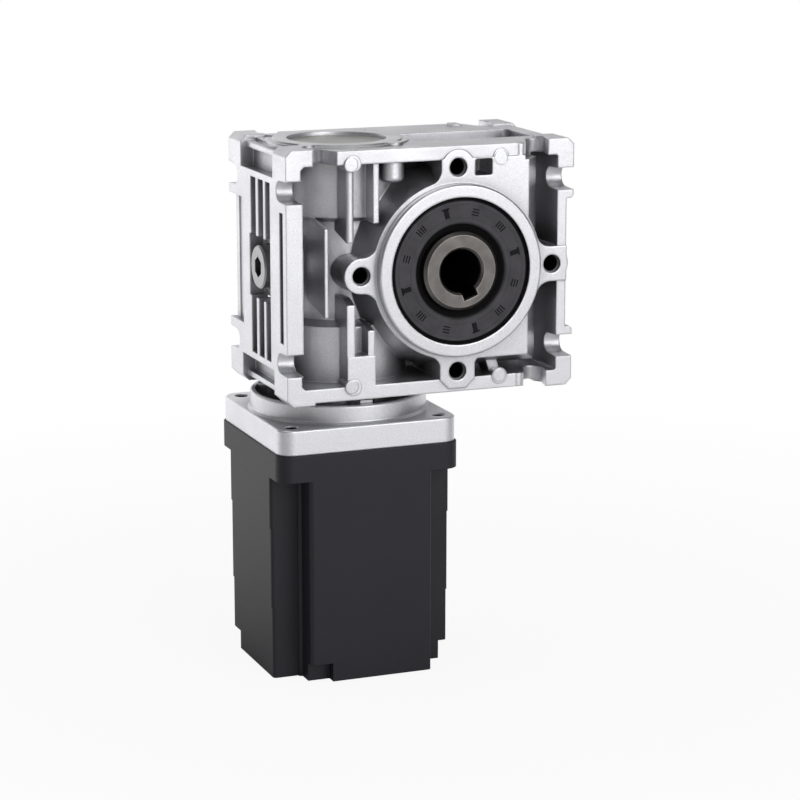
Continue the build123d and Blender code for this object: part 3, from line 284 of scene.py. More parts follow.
def painted_corner_shade():
    """Shade gathered in inner corners: how much of the view from a point its own part closes."""
    inputs = {"Reach": 7 * MM, "Power": 1.3}
    tree, given, result = group_tree("painted_corner_shade", inputs, ["Mask"])
    settings = {"samples": 8, "only_local": True}
    open_view = put(tree, "ShaderNodeAmbientOcclusion", settings, Distance=given["Reach"]).outputs["AO"]
    feed(tree, result["Mask"], calc(tree, "SUBTRACT", 1.0, calc(tree, "POWER", open_view, given["Power"])))
    return tree


def turned_rings():
    """Fine rings from a cutting tool round the vector's Z direction, as noise along the radius."""
    inputs = {"Vector": None, "Pitch": 0.2 * MM}
    tree, given, result = group_tree("turned_rings", inputs, ["Height", "Radius"])
    part = put(tree, "ShaderNodeSeparateXYZ", Vector=given["Vector"]).outputs
    squares = [calc(tree, "MULTIPLY", part[axis], part[axis]) for axis in ("X", "Y")]
    radius = calc(tree, "SQRT", calc(tree, "ADD", *squares))
    along = calc(tree, "DIVIDE", radius, given["Pitch"])
    rings = put(tree, "ShaderNodeTexNoise", {"noise_dimensions": "1D"}, W=along, Scale=1.0, Detail=1.0)
    feed(tree, result["Height"], rings.outputs["Fac"])
    feed(tree, result["Radius"], radius)
    return tree


def stacked_lines():
    """Thin layers stacked along the vector's Z direction, as a folded sine of the height."""
    inputs = {"Vector": None, "Pitch": 0.5 * MM}
    tree, given, result = group_tree("stacked_lines", inputs, ["Height"])
    part = put(tree, "ShaderNodeSeparateXYZ", Vector=given["Vector"]).outputs
    turn = calc(tree, "MULTIPLY", calc(tree, "DIVIDE", part["Z"], given["Pitch"]), 2 * math.pi)
    feed(tree, result["Height"], calc(tree, "ABSOLUTE", calc(tree, "SINE", turn)))
    return tree


def use_group(tree, maker, **values):
    """A shared effect placed in a material, with its own values."""
    shared = bpy.data.node_groups.get(maker.__name__) or maker()
    node = tree.nodes.new("ShaderNodeGroup")
    node.node_tree = shared
    for key, value in values.items():
        feed(tree, node.inputs[key.replace("_", " ")], value)
    return node.outputs


# Finishes


def blank_finish(name):
    """A new material, its tree, its shader and the object's own coordinates."""
    material = bpy.data.materials.new(f"{name}_finish")
    material.use_nodes = True
    tree = material.node_tree
    shader = tree.nodes["Principled BSDF"]
    place = put(tree, "ShaderNodeTexCoord").outputs["Object"]
    return material, tree, shader, place


def turned_place(tree, place, centre, turn):
    """Coordinates centred on a point and turned, so that a pattern's Z lies along a shaft."""
    node = put(tree, "ShaderNodeMapping", {"vector_type": "TEXTURE"}, Vector=place)
    node.inputs["Location"].default_value = centre
    node.inputs["Rotation"].default_value = turn
    return node.outputs[0]


def shade(colour, factor):
    """The colour, darker or brighter, with its alpha."""
    return tuple(min(1.0, part * factor) for part in colour) + (1.0,)


def relief(tree, shader, height, distance, soft=0.0):
    """A small relief from a height between 0 and 1, over edges that look soft."""
    bump = put(tree, "ShaderNodeBump", Height=height, Distance=distance)
    if soft:
        rounded = put(tree, "ShaderNodeBevel", {"samples": 6}, Radius=soft)
        feed(tree, bump.inputs["Normal"], rounded.outputs["Normal"])
    feed(tree, shader.inputs["Normal"], bump.outputs["Normal"])


def grained_metal(name, colour, grain_size, rough, highlight_gain=3.5, patch=0.08):
    """Metal with a cloudy tone, painted shade in its inner corners and a painted highlight along its edges.
    It comes with its grain as a height.
    """
    material, tree, shader, place = blank_finish(name)
    grain = use_group(tree, fine_grain, Vector=place, Grain_Size=grain_size)
    cloud = use_group(tree, soft_patches, Vector=place, Patch_Size=14 * MM)["Mask"]
    edge_highlight = use_group(tree, painted_edge_highlight, Radius=0.5 * MM, Gain=highlight_gain)["Mask"]
    base = mix_colour(tree, cloud, shade(colour, 1.0 - patch), shade(colour, 1.0))
    base = mix_colour(tree, grain["Tone"], base, shade(colour, 0.8))
    # Painted shade: the colour darkens in inner corners, where the part shades itself.
    dark = use_group(tree, painted_corner_shade)["Mask"]
    base = mix_colour(tree, calc(tree, "MULTIPLY", dark, 0.8), base, shade(colour, 0.16))
    # Painted highlight: the colour brightens along edges.
    base = mix_colour(tree, edge_highlight, base, shade(colour, 1.4))
    feed(tree, shader.inputs["Base Color"], base)
    feed(tree, shader.inputs["Roughness"], ramp(tree, cloud, 0.0, 1.0, rough + 0.05, rough - 0.03))
    shader.inputs["Metallic"].default_value = 1.0
    shader.inputs["Specular IOR Level"].default_value = 0.0
    return material, tree, shader, place, grain["Height"]


def plain_metal(name, colour, grain_size, rough, depth, soft, highlight_gain=3.5, patch=0.08):
    """Grained metal whose relief is its own grain, over edges that look soft."""
    made = grained_metal(name, colour, grain_size, rough, highlight_gain, patch)
    material, tree, shader, _, grain = made
    relief(tree, shader, grain, depth, soft)
    return material


def blacken(tree, shader, mask):
    """Turns the finish to a dull black by a mask, as down a deep hole that no light leaves."""
    base, metal = shader.inputs["Base Color"], shader.inputs["Metallic"]
    feed(tree, base, mix_colour(tree, mask, base.links[0].from_socket, DEEP_BLACK))
    feed(tree, metal, calc(tree, "SUBTRACT", 1.0, mask))


def in_mount_holes(tree, place, depth):
    """1 inside the mounting holes: close to one of their four axes and below the boss face."""
    part = put(tree, "ShaderNodeSeparateXYZ", Vector=place).outputs
    across, up = calc(tree, "ABSOLUTE", part["X"]), calc(tree, "ABSOLUTE", part["Z"])
    further, nearer = calc(tree, "MAXIMUM", across, up), calc(tree, "MINIMUM", across, up)
    out = calc(tree, "SUBTRACT", further, MOUNT_RADIUS)
    square = calc(tree, "ADD", calc(tree, "MULTIPLY", out, out), calc(tree, "MULTIPLY", nearer, nearer))
    close = calc(tree, "LESS_THAN", square, (HOLE_RADIUS + 0.03 * MM) ** 2)
    sunk = ramp(tree, depth, BOSS_FACE - 1.8 * MM, BOSS_FACE - 0.1 * MM, 1.0, 0.0)
    return calc(tree, "MULTIPLY", close, sunk)


def cast_aluminium(colours, sizes):
    """Blasted die casting, turned smooth on rings and bosses, with painted shade down the tapped holes."""
    made = grained_metal("cast_aluminium", colours.casting, sizes.cast_grain, 0.38)
    material, tree, shader, place, grain = made
    part = put(tree, "ShaderNodeSeparateXYZ", Vector=place).outputs
    depth = calc(tree, "ABSOLUTE", part["Y"])
    milled = calc(tree, "GREATER_THAN", depth, BOSS_FACE - 0.1 * MM)
    # Painted shade: dull black down the tapped holes.
    blacken(tree, shader, in_mount_holes(tree, place, depth))
    along_bore = turned_place(tree, place, (0, 0, 0), (math.pi / 2, 0, 0))
    rings = use_group(tree, turned_rings, Vector=along_bore, Pitch=0.25 * MM)
    faint = ramp(tree, rings["Height"], 0.0, 1.0, 0.45, 0.55)
    relief(tree, shader, mix_value(tree, milled, grain, faint), 0.11 * MM, sizes.cast_soft)
    rough = shader.inputs["Roughness"].links[0].from_socket
    feed(tree, shader.inputs["Roughness"], mix_value(tree, milled, rough, 0.30))
    return material


def adapter_aluminium(colours, sizes):
    """The adapter plate's fine satin, with painted shade down its corner holes."""
    made = grained_metal("adapter_aluminium", colours.plate, sizes.cast_grain, 0.36)
    material, tree, shader, place, grain = made
    part = put(tree, "ShaderNodeSeparateXYZ", Vector=place).outputs
    offsets = []
    for axis, centre in (("X", MOTOR_AXIS_X), ("Y", 0.0)):
        reach = calc(tree, "ABSOLUTE", calc(tree, "SUBTRACT", part[axis], centre))
        offset = calc(tree, "SUBTRACT", reach, sizes.plate_hole_half)
        offsets.append(calc(tree, "MULTIPLY", offset, offset))
    close = calc(tree, "LESS_THAN", calc(tree, "ADD", *offsets), (sizes.plate_hole_d / 2 + 0.1 * MM) ** 2)
    sunk = ramp(tree, part["Z"], PLATE_TOP - 0.5 * MM, PLATE_TOP - 0.3 * MM, 1.0, 0.0)
    # Painted shade: dull black down the corner holes.
    blacken(tree, shader, calc(tree, "MULTIPLY", close, sunk))
    relief(tree, shader, grain, 0.08 * MM, sizes.plate_soft)
    return material


def black_coat(colours, sizes):
    """Satin black coating with a very fine orange peel and a painted highlight along its edges. The seams
    between the three segments stay sharp, so that they show as little as on the real motor."""
    material, tree, shader, place = blank_finish("black_coat")
    grain = use_group(tree, fine_grain, Vector=place, Grain_Size=sizes.coat_grain)
    cloud = use_group(tree, soft_patches, Vector=place, Patch_Size=25 * MM)["Mask"]
    height = put(tree, "ShaderNodeSeparateXYZ", Vector=place).outputs["Z"]
    gaps = [calc(tree, "ABSOLUTE", calc(tree, "SUBTRACT", height, seam)) for seam in MOTOR_SEAMS]
    away = ramp(tree, calc(tree, "MINIMUM", *gaps), 0.8 * MM, 1.0 * MM)
    # Painted highlight along the coating's edges, kept off the seams.
    highlight_reach = calc(tree, "MULTIPLY", away, 0.4 * MM)
    edge_highlight = use_group(tree, painted_edge_highlight, Radius=highlight_reach, Gain=2.5)["Mask"]
    base = mix_colour(tree, cloud, shade(colours.coat, 0.92), shade(colours.coat, 1.05))
    base = mix_colour(tree, calc(tree, "MULTIPLY", edge_highlight, 0.5), base, shade(colours.coat, 2.2))
    feed(tree, shader.inputs["Base Color"], base)
    feed(tree, shader.inputs["Roughness"], ramp(tree, grain["Tone"], 0.0, 1.0, 0.42, 0.52))
    shader.inputs["Specular IOR Level"].default_value = 0.4
    soft = calc(tree, "MULTIPLY", away, sizes.coat_soft)
    relief(tree, shader, grain["Height"], 0.012 * MM, soft)
    return material


def shaft_steel(colours, sizes):
    """The hollow shaft: turned, a little brown, stained, with a painted highlight on its chamfers and
    painted shade inside.
    """
    material, tree, shader, place = blank_finish("shaft_steel")
    along_bore = turned_place(tree, place, (0, 0, 0), (math.pi / 2, 0, 0))
    rings = use_group(tree, turned_rings, Vector=along_bore, Pitch=0.16 * MM)
    grain = use_group(tree, fine_grain, Vector=place, Grain_Size=0.45 * MM)
    cloud = use_group(tree, soft_patches, Vector=place, Patch_Size=4.5 * MM)["Mask"]
    edge_highlight = use_group(tree, painted_edge_highlight, Radius=0.7 * MM, Gain=3.0)["Mask"]
    base = mix_colour(tree, cloud, shade(colours.shaft, 0.72), shade(colours.shaft, 1.0))
    base = mix_colour(tree, calc(tree, "MULTIPLY", grain["Tone"], 0.35), base, shade(colours.shaft, 0.6))
    # Painted highlight on the chamfers.
    base = mix_colour(tree, edge_highlight, base, shade(colours.shaft, 3.0))
    part = put(tree, "ShaderNodeSeparateXYZ", Vector=place).outputs
    depth = calc(tree, "ABSOLUTE", part["Y"])
    inside = ramp(tree, depth, SHAFT_END - 2 * MM, SHAFT_END - 0.6 * MM, 1.0, 0.0)
    bored = calc(tree, "LESS_THAN", rings["Radius"], BORE_REACH)
    feed(tree, shader.inputs["Base Color"], base)
    feed(tree, shader.inputs["Roughness"], ramp(tree, cloud, 0.0, 1.0, 0.42, 0.33))
    shader.inputs["Specular IOR Level"].default_value = 0.0
    # Painted shade: dull black down the bore.
    blacken(tree, shader, calc(tree, "MULTIPLY", inside, bored))
    height = mix_value(tree, 0.5, rings["Height"], grain["Height"])
    relief(tree, shader, height, 0.03 * MM, sizes.trim_soft)
    return material


def seal_rubber(colours, sizes):
    """Moulded rubber: matt, with a faint bloom in patches, and painted shade at its lip and rim, where the
    gaps are.
    """
    material, tree, shader, place = blank_finish("seal_rubber")
    grain = use_group(tree, fine_grain, Vector=place, Grain_Size=0.15 * MM)
    cloud = use_group(tree, soft_patches, Vector=place, Patch_Size=6 * MM)["Mask"]
    base = mix_colour(tree, cloud, shade(colours.rubber, 0.8), shade(colours.rubber, 1.25))
    along_bore = turned_place(tree, place, (0, 0, 0), (math.pi / 2, 0, 0))
    radius = use_group(tree, turned_rings, Vector=along_bore, Pitch=0.3 * MM)["Radius"]
    lip = ramp(tree, radius, SEAL_LIP - 0.3 * MM, SEAL_LIP + 0.3 * MM, 1.0, 0.0)
    rim = ramp(tree, radius, SEAL_RIM - 0.2 * MM, SEAL_RIM + 0.2 * MM)
    gap = calc(tree, "MAXIMUM", lip, rim)
    # Painted shade: black rings at the lip and rim, where the gaps are.
    base = mix_colour(tree, gap, base, GAP_BLACK)
    feed(tree, shader.inputs["Base Color"], base)
    shader.inputs["Specular IOR Level"].default_value = 0.3
    matt = ramp(tree, cloud, 0.0, 1.0, 0.55, 0.66)
    feed(tree, shader.inputs["Roughness"], mix_value(tree, gap, matt, 1.0))
    relief(tree, shader, grain["Height"], 0.012 * MM)
    return material


def mark_rubber(colours, sizes):
    """The moulded marks: darker and duller than the seal's face."""
    material, tree, shader, place = blank_finish("mark_rubber")
    grain = use_group(tree, fine_grain, Vector=place, Grain_Size=0.2 * MM)
    base = mix_colour(tree, grain["Tone"], shade(colours.rubber, 0.15), shade(colours.rubber, 0.3))
    feed(tree, shader.inputs["Base Color"], base)
    feed(tree, shader.inputs["Roughness"], ramp(tree, grain["Tone"], 0.0, 1.0, 0.6, 0.7))
    shader.inputs["Specular IOR Level"].default_value = 0.1
    relief(tree, shader, grain["Height"], 0.01 * MM)
    return material


def bearing_steel(colours, sizes):
    """Ground and lapped steel."""
    soft = sizes.trim_soft
    return plain_metal("bearing_steel", colours.bearing, 0.12 * MM, 0.22, 0.004 * MM, soft, 1.0)


def screw_steel(colours, sizes):
    """Screws with a black oxide."""
    soft = sizes.trim_soft
    return plain_metal("screw_steel", colours.screw, 0.12 * MM, 0.38, 0.008 * MM, soft, 2.5)


def plug_zinc(colours, sizes):
    """Zinc plating: grey, with a soft bloom."""
    soft = sizes.trim_soft
    return plain_metal("plug_zinc", colours.zinc, 0.18 * MM, 0.33, 0.012 * MM, soft, 2.0, 0.14)


def cap_steel(colours, sizes):
    """The pressed cap's pale plating."""
    soft = sizes.trim_soft
    return plain_metal("cap_steel", colours.cap, 0.25 * MM, 0.45, 0.01 * MM, soft, 1.5)


def magnet_grey(colours, sizes):
    """Nickel on the magnets."""
    soft = sizes.trim_soft
    return plain_metal("magnet_grey", colours.magnet, 0.2 * MM, 0.28, 0.008 * MM, soft)


def lamination_steel(colours, sizes):
    """Edges of stacked sheets."""
    made = grained_metal("lamination_steel", colours.bearing, 0.2 * MM, 0.42)
    material, tree, shader, place, _ = made
    layers = use_group(tree, stacked_lines, Vector=place, Pitch=0.7 * MM)["Height"]
    relief(tree, shader, layers, 0.04 * MM)
    return material


def wheel_bronze(colours, sizes):
    """The wheel rim's bronze with turning marks round the bore."""
    made = grained_metal("wheel_bronze", colours.bronze, 0.3 * MM, 0.34)
    material, tree, shader, place, _ = made
    along_bore = turned_place(tree, place, (0, 0, 0), (math.pi / 2, 0, 0))
    rings = use_group(tree, turned_rings, Vector=along_bore, Pitch=0.3 * MM)
    relief(tree, shader, rings["Height"], 0.02 * MM)
    return material


def copper_wire(colours, sizes):
    """Enamelled wire laid side by side: ridges along the coils."""
    made = grained_metal("copper_wire", colours.copper, 0.4 * MM, 0.28)
    material, tree, shader, place, _ = made
    wires = use_group(tree, stacked_lines, Vector=place, Pitch=1.1 * MM)["Height"]
    relief(tree, shader, wires, 0.12 * MM)
    shader.inputs["Coat Weight"].default_value = 0.4
    return material


def board_green(colours, sizes):
    """Solder mask with faint copper tracks under it."""
    material, tree, shader, place = blank_finish("board_green")
    tracks = put(tree, "ShaderNodeTexBrick", Vector=place, Scale=260.0)
    tracks.inputs["Color1"].default_value = shade(colours.board, 1.0)
    tracks.inputs["Color2"].default_value = shade(colours.board, 0.8)
    tracks.inputs["Mortar"].default_value = shade(colours.board, 1.7)
    feed(tree, shader.inputs["Base Color"], tracks.outputs["Color"])
    grain = use_group(tree, fine_grain, Vector=place, Grain_Size=0.3 * MM)
    feed(tree, shader.inputs["Roughness"], ramp(tree, grain["Tone"], 0.0, 1.0, 0.3, 0.4))
    relief(tree, shader, tracks.outputs["Fac"], 0.02 * MM)
    return material


def chip_plastic(colours, sizes):
    """Moulded plastic of the sensors."""
    material, tree, shader, place = blank_finish("chip_plastic")
    grain = use_group(tree, fine_grain, Vector=place, Grain_Size=0.1 * MM)
    base = mix_colour(tree, grain["Tone"], (0.02, 0.02, 0.02, 1.0), (0.032, 0.032, 0.032, 1.0))
    feed(tree, shader.inputs["Base Color"], base)
    feed(tree, shader.inputs["Roughness"], ramp(tree, grain["Tone"], 0.0, 1.0, 0.5, 0.62))
    relief(tree, shader, grain["Height"], 0.01 * MM)
    return material


def finish_of(context, maker):
    """The material of a finish, made once."""
    found = bpy.data.materials.get(f"{maker.__name__}_finish")
    return found or maker(context.scene.gear_motor_colours, context.scene.gear_motor_sizes)


# Meshes


def add_piece(name, mesh, material, body):
    """A finished mesh as a piece at the origin, riding on its body."""
    mesh.materials.clear()
    mesh.materials.append(material)
    piece = bpy.data.objects.new(name, mesh)
    bpy.context.scene.collection.objects.link(piece)
    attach(piece, body)
    return piece


def mesh_of(name, points, faces):
    """A closed mesh from arrays of points and faces, welded and with its faces outwards."""
    mesh = bpy.data.meshes.new(name)
    mesh.from_pydata(points.tolist(), [], faces.tolist())
    work = bmesh.new()
    work.from_mesh(mesh)
    bmesh.ops.remove_doubles(work, verts=work.verts, dist=WELD_GAP)
    bmesh.ops.recalc_face_normals(work, faces=work.faces)
    work.to_mesh(mesh)
    work.free()
    return mesh


def tube_faces(rows, columns, closed_rows):
    """Four-cornered faces of a grid whose columns close on themselves, and perhaps its rows."""
    index = np.arange(rows * columns).reshape(rows, columns)
    if closed_rows:
        index = np.vstack([index, index[:1]])
    across = np.roll(index, -1, axis=1)
    corners = [index[:-1], index[1:], across[1:], across[:-1]]
    return np.stack(corners, axis=-1).reshape(-1, 4)


def thread_points(hole_r, crest_r, pitch, length, steps=28):
    """A wedge carried along a helix in a hole. The turn grows evenly with depth, the wedge's
    base lies in the wall and its crest points inwards, and it fades to a point at both ends."""
    turns = length / pitch
    share = np.linspace(0.0, 1.0, int(turns * steps))
    angle = 2 * np.pi * turns * share
    fade = np.clip(np.minimum(share, 1 - share) * turns / 0.5, 0.0, 1.0)
    wall = hole_r + 0.03 * MM
    radial = np.array([wall, crest_r, crest_r, wall]) - hole_r
    along = np.array([-0.44, -0.08, 0.08, 0.44]) * pitch
    radius = hole_r + 0.02 * MM + fade[:, None] * radial
    depth = pitch * 0.5 + share[:, None] * (length - pitch) + fade[:, None] * along
    circle = np.stack([np.cos(angle), np.sin(angle)], axis=-1)
    flat = radius[..., None] * circle[:, None, :]
    return np.concatenate([flat, depth[..., None]], axis=-1)


def threads_mesh(name, holes, ridge):
    """One mesh of the same thread in several holes, each given by its axes and its mouth."""
    rows, columns = ridge.shape[:2]
    faces = tube_faces(rows, columns, False)
    count = rows * columns
    local = ridge.reshape(-1, 3)
    points = [mouth + local @ axes for axes, mouth in holes]
    all_faces = [faces + count * number for number in range(len(holes))]
    return mesh_of(name, np.vstack(points), np.vstack(all_faces))


def bars_mesh(name, bars, face_y, sign, rise):
    """Raised blocks on a face across Y. Each bar is a row of radius, angle, radial length and
    width, and becomes a low frustum whose top is a little smaller than its foot."""
    radius, angle, length, width = bars.T
    out = np.stack([np.cos(angle), np.sin(angle)], axis=-1)
    side = np.stack([-np.sin(angle), np.cos(angle)], axis=-1)
    corner = np.array([(-1, -1), (1, -1), (1, 1), (-1, 1)]) / 2
    levels = []
    for shrink, height in ((0.0, -EMBEDDED), (0.5, rise)):
        long_way = (length[:, None] - shrink * rise * 2) * corner[:, 0] + radius[:, None]
        wide_way = (width[:, None] - shrink * rise * 2) * corner[:, 1]
        flat = long_way[..., None] * out[:, None, :] + wide_way[..., None] * side[:, None, :]
        y = np.full(long_way.shape, face_y + sign * height)
        levels.append(np.stack([flat[..., 0], y, flat[..., 1]], axis=-1))
    points = np.concatenate(levels, axis=1)
    sides = [(i, (i + 1) % 4, (i + 1) % 4 + 4, i + 4) for i in range(4)]
    block = np.array([(0, 1, 2, 3), (4, 5, 6, 7)] + sides)
    offsets = 8 * np.arange(len(bars))[:, None, None]
    return mesh_of(name, points.reshape(-1, 3), (block[None] + offsets).reshape(-1, 4))


def ridge_ring_mesh(name, radius, face_y, sign, width, rise, steps=128):
    """A low round ridge on a face across Y: an ellipse turned round the bore."""
    turn = np.linspace(0, 2 * np.pi, steps, endpoint=False)[:, None]
    section = np.linspace(0, 2 * np.pi, 8, endpoint=False)[None, :]
    reach = radius + width / 2 * np.cos(section)
    y = face_y + sign * rise * np.sin(section) + 0 * turn
    points = np.stack([reach * np.cos(turn), y, reach * np.sin(turn)], axis=-1)
    return mesh_of(name, points.reshape(-1, 3), tube_faces(steps, 8, True))


def studs_mesh(name, places, radius, y_root, y_face, edge, steps=40):
    """Round stud ends that face along Y, one at each place (x, z). A profile with a rounded rim,
    from the centre of the root to the centre of the face, is turned a whole turn."""
    sign = math.copysign(1.0, y_face - y_root)
    bend = np.linspace(0, np.pi / 2, 6)
    rim = np.stack([radius - edge + edge * np.cos(bend), y_face - sign * edge * (1 - np.sin(bend))], axis=-1)
    profile = np.vstack([[(0.0, y_root), (radius, y_root)], rim, [(0.0, y_face)]])
    turn = np.linspace(0, 2 * np.pi, steps, endpoint=False)
    circle = np.stack([np.cos(turn), np.zeros(steps), np.sin(turn)], axis=-1)
    grid = profile[:, None, :1] * circle[None] + profile[:, None, 1:] * np.array((0.0, 1.0, 0.0))
    faces = tube_faces(len(profile), steps, False)
    count = len(profile) * steps
    points = [grid.reshape(-1, 3) + np.array((x, 0.0, z)) for x, z in places]
    all_faces = [faces + count * number for number in range(len(places))]
    return mesh_of(name, np.vstack(points), np.vstack(all_faces))


def dress(context, nodes, maker):
    """Gives CAD nodes a finish through their material slots."""
    material = finish_of(context, maker)
    for node in nodes:
        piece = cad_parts[node]
        if not piece.material_slots:
            piece.data.materials.append(material)
        for slot in piece.material_slots:
            slot.material = material


# Operators, one for each piece or group of like pieces


class GEARMOTOR_OT_castings(bpy.types.Operator):
    """Finishes the gearbox case and its rear cover"""

    bl_idname = "gear_motor.castings"
    bl_label = "Gearbox castings"

    def execute(self, context):
        dress(context, ("gearbox_housing", "rear_cover"), cast_aluminium)
        return {"FINISHED"}


class GEARMOTOR_OT_rail_studs(bpy.types.Operator):
    """Adds the round stud ends that stand proud of the front rails"""

    bl_idname = "gear_motor.rail_studs"
    bl_label = "Rail studs"

    def execute(self, context):
        sizes = context.scene.gear_motor_sizes
        heights = (-sizes.stud_height, sizes.stud_height)
        places = [(x, z) for x in (sizes.stud_left, sizes.stud_right) for z in heights]
        root, face = -(RAIL_FACE - 2 * MM), -(RAIL_FACE + sizes.stud_proud)
        mesh = studs_mesh("rail_studs", places, sizes.stud_d / 2, root, face, edge=0.25 * MM)
        material = finish_of(context, cast_aluminium)
        add_piece("rail_studs", mesh, material, "root")
        return {"FINISHED"}


class GEARMOTOR_OT_adapter(bpy.types.Operator):
    """Finishes the adapter flange"""

    bl_idname = "gear_motor.adapter"
    bl_label = "Adapter flange"

    def execute(self, context):
        dress(context, ("adapter_flange",), adapter_aluminium)
        return {"FINISHED"}


class GEARMOTOR_OT_mount_threads(bpy.types.Operator):
    """Adds the helical threads in the mouths of the mounting holes, in front and behind"""

    bl_idname = "gear_motor.mount_threads"
    bl_label = "Mounting threads"

    def execute(self, context):
        sizes = context.scene.gear_motor_sizes
        hole_r = sizes.mount_thread_d / 2
        pitch = sizes.mount_thread_pitch
        crest_r = hole_r - 0.52 * pitch
        ridge = thread_points(hole_r, crest_r, pitch, sizes.mount_thread_long)
        material = finish_of(context, cast_aluminium)
        for name, sign in (("front_threads", -1), ("rear_threads", 1)):
            inward = np.array([(1, 0, 0), (0, 0, -sign), (0, -sign, 0)])
            start = sign * (BOSS_FACE - 0.3 * MM)
            holes = []
            for turn in range(4):
                angle = turn * math.pi / 2
                x, z = MOUNT_RADIUS * math.cos(angle), MOUNT_RADIUS * math.sin(angle)
                holes.append((inward, np.array((x, start, z))))
            mesh = threads_mesh(name, holes, ridge)
            add_piece(name, mesh, material, "root")
        return {"FINISHED"}


class GEARMOTOR_OT_seals(bpy.types.Operator):
    """Gives the lip seals their rubber, moulded ridges and plain raised marks"""

    bl_idname = "gear_motor.seals"
    bl_label = "Lip seals"

    def execute(self, context):
        sizes = context.scene.gear_motor_sizes
        rubber, dull = finish_of(context, seal_rubber), finish_of(context, mark_rubber)
        nodes = ("front_output_seal", "rear_output_seal", "worm_seal", "plug_washer", "lead_grommet")
        dress(context, nodes, seal_rubber)
        for side, sign in (("front", -1), ("rear", 1)):
            face = sign * SEAL_FACE
            bars = bars_mesh(f"{side}_seal_marks", self.marks(sizes), face, sign, sizes.mark_rise)
            add_piece(f"{side}_seal_marks", bars, dull, "root")
            for place, radius in SEAL_RIDGES.items():
                name = f"{side}_seal_{place}_ridge"
                ring = ridge_ring_mesh(name, radius, face, sign, width=0.16 * MM, rise=0.08 * MM)
                for polygon in ring.polygons:
                    polygon.use_smooth = True
                add_piece(name, ring, rubber, "root")
        return {"FINISHED"}

    @staticmethod
    def marks(sizes):
        """Rows of radius, angle, radial length and width: broad bars, tick groups and pairs."""
        radius = sizes.mark_radius
        rows = []
        for number in range(sizes.mark_count):
            angle = 2 * math.pi * (number + 0.5) / sizes.mark_count
            kind = number % 3
            if kind == 0:
                rows.append((radius, angle, 3.2 * MM, 1.6 * MM))
                rows.append((radius + 1.4 * MM, angle, 0.5 * MM, 2.6 * MM))
            elif kind == 1:
                for step in (-1.5, -0.5, 0.5, 1.5):
                    rows.append((radius, angle + step * 0.045, 2.4 * MM, 0.4 * MM))
            else:
                for step in (-1, 0, 1):
                    rows.append((radius + step * 0.9 * MM, angle, 0.4 * MM, 2.4 * MM))
        return np.array(rows)


class GEARMOTOR_OT_output_shaft(bpy.types.Operator):
    """Gives the hollow shaft its turned steel and dark bore"""

    bl_idname = "gear_motor.output_shaft"
    bl_label = "Hollow shaft"

    def execute(self, context):
        dress(context, ("output_shaft",), shaft_steel)
        return {"FINISHED"}


class GEARMOTOR_OT_closures(bpy.types.Operator):
    """Finishes the oil plug and the worm's end cap"""

    bl_idname = "gear_motor.closures"
    bl_label = "Plug and cap"

    def execute(self, context):
        dress(context, ("oil_plug",), plug_zinc)
        dress(context, ("end_cap",), cap_steel)
        return {"FINISHED"}


class GEARMOTOR_OT_fasteners(bpy.types.Operator):
    """Finishes the spacers, screws and circlips"""

    bl_idname = "gear_motor.fasteners"
    bl_label = "Spacers and screws"

    def execute(self, context):
        dress(context, ("hex_spacers",), plug_zinc)
        screws = ("cover_screws", "spacer_screws", "motor_screws", "through_screws")
        dress(context, screws, screw_steel)
        dress(context, ("upper_circlip", "lower_circlip", "wave_washer"), bearing_steel)
        return {"FINISHED"}


class GEARMOTOR_OT_motor_shells(bpy.types.Operator):
    """Finishes the motor's three black segments"""

    bl_idname = "gear_motor.motor_shells"
    bl_label = "Motor segments"

    def execute(self, context):
        dress(context, ("motor_front_cover", "stator_core", "motor_rear_cover"), black_coat)
        return {"FINISHED"}


class GEARMOTOR_OT_gear_set(bpy.types.Operator):
    """Finishes the wheel rim, the worm and all bearings"""

    bl_idname = "gear_motor.gear_set"
    bl_label = "Gears and bearings"

    def execute(self, context):
        dress(context, ("worm_wheel_rim",), wheel_bronze)
        dress(context, ("worm_shaft", "motor_shaft", "shaft_key"), bearing_steel)
        dress(context, [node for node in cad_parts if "_bearing_" in node], bearing_steel)
        return {"FINISHED"}


class GEARMOTOR_OT_electrics(bpy.types.Operator):
    """Finishes the rotor, the coils and the sensor board"""

    bl_idname = "gear_motor.electrics"
    bl_label = "Rotor, coils and board"

    def execute(self, context):
        dress(context, ("rotor_core",), lamination_steel)
        dress(context, ("rotor_magnets",), magnet_grey)
        dress(context, ("stator_windings",), copper_wire)
        dress(context, ("sensor_board",), board_green)
        dress(context, ("hall_sensors",), chip_plastic)
        return {"FINISHED"}


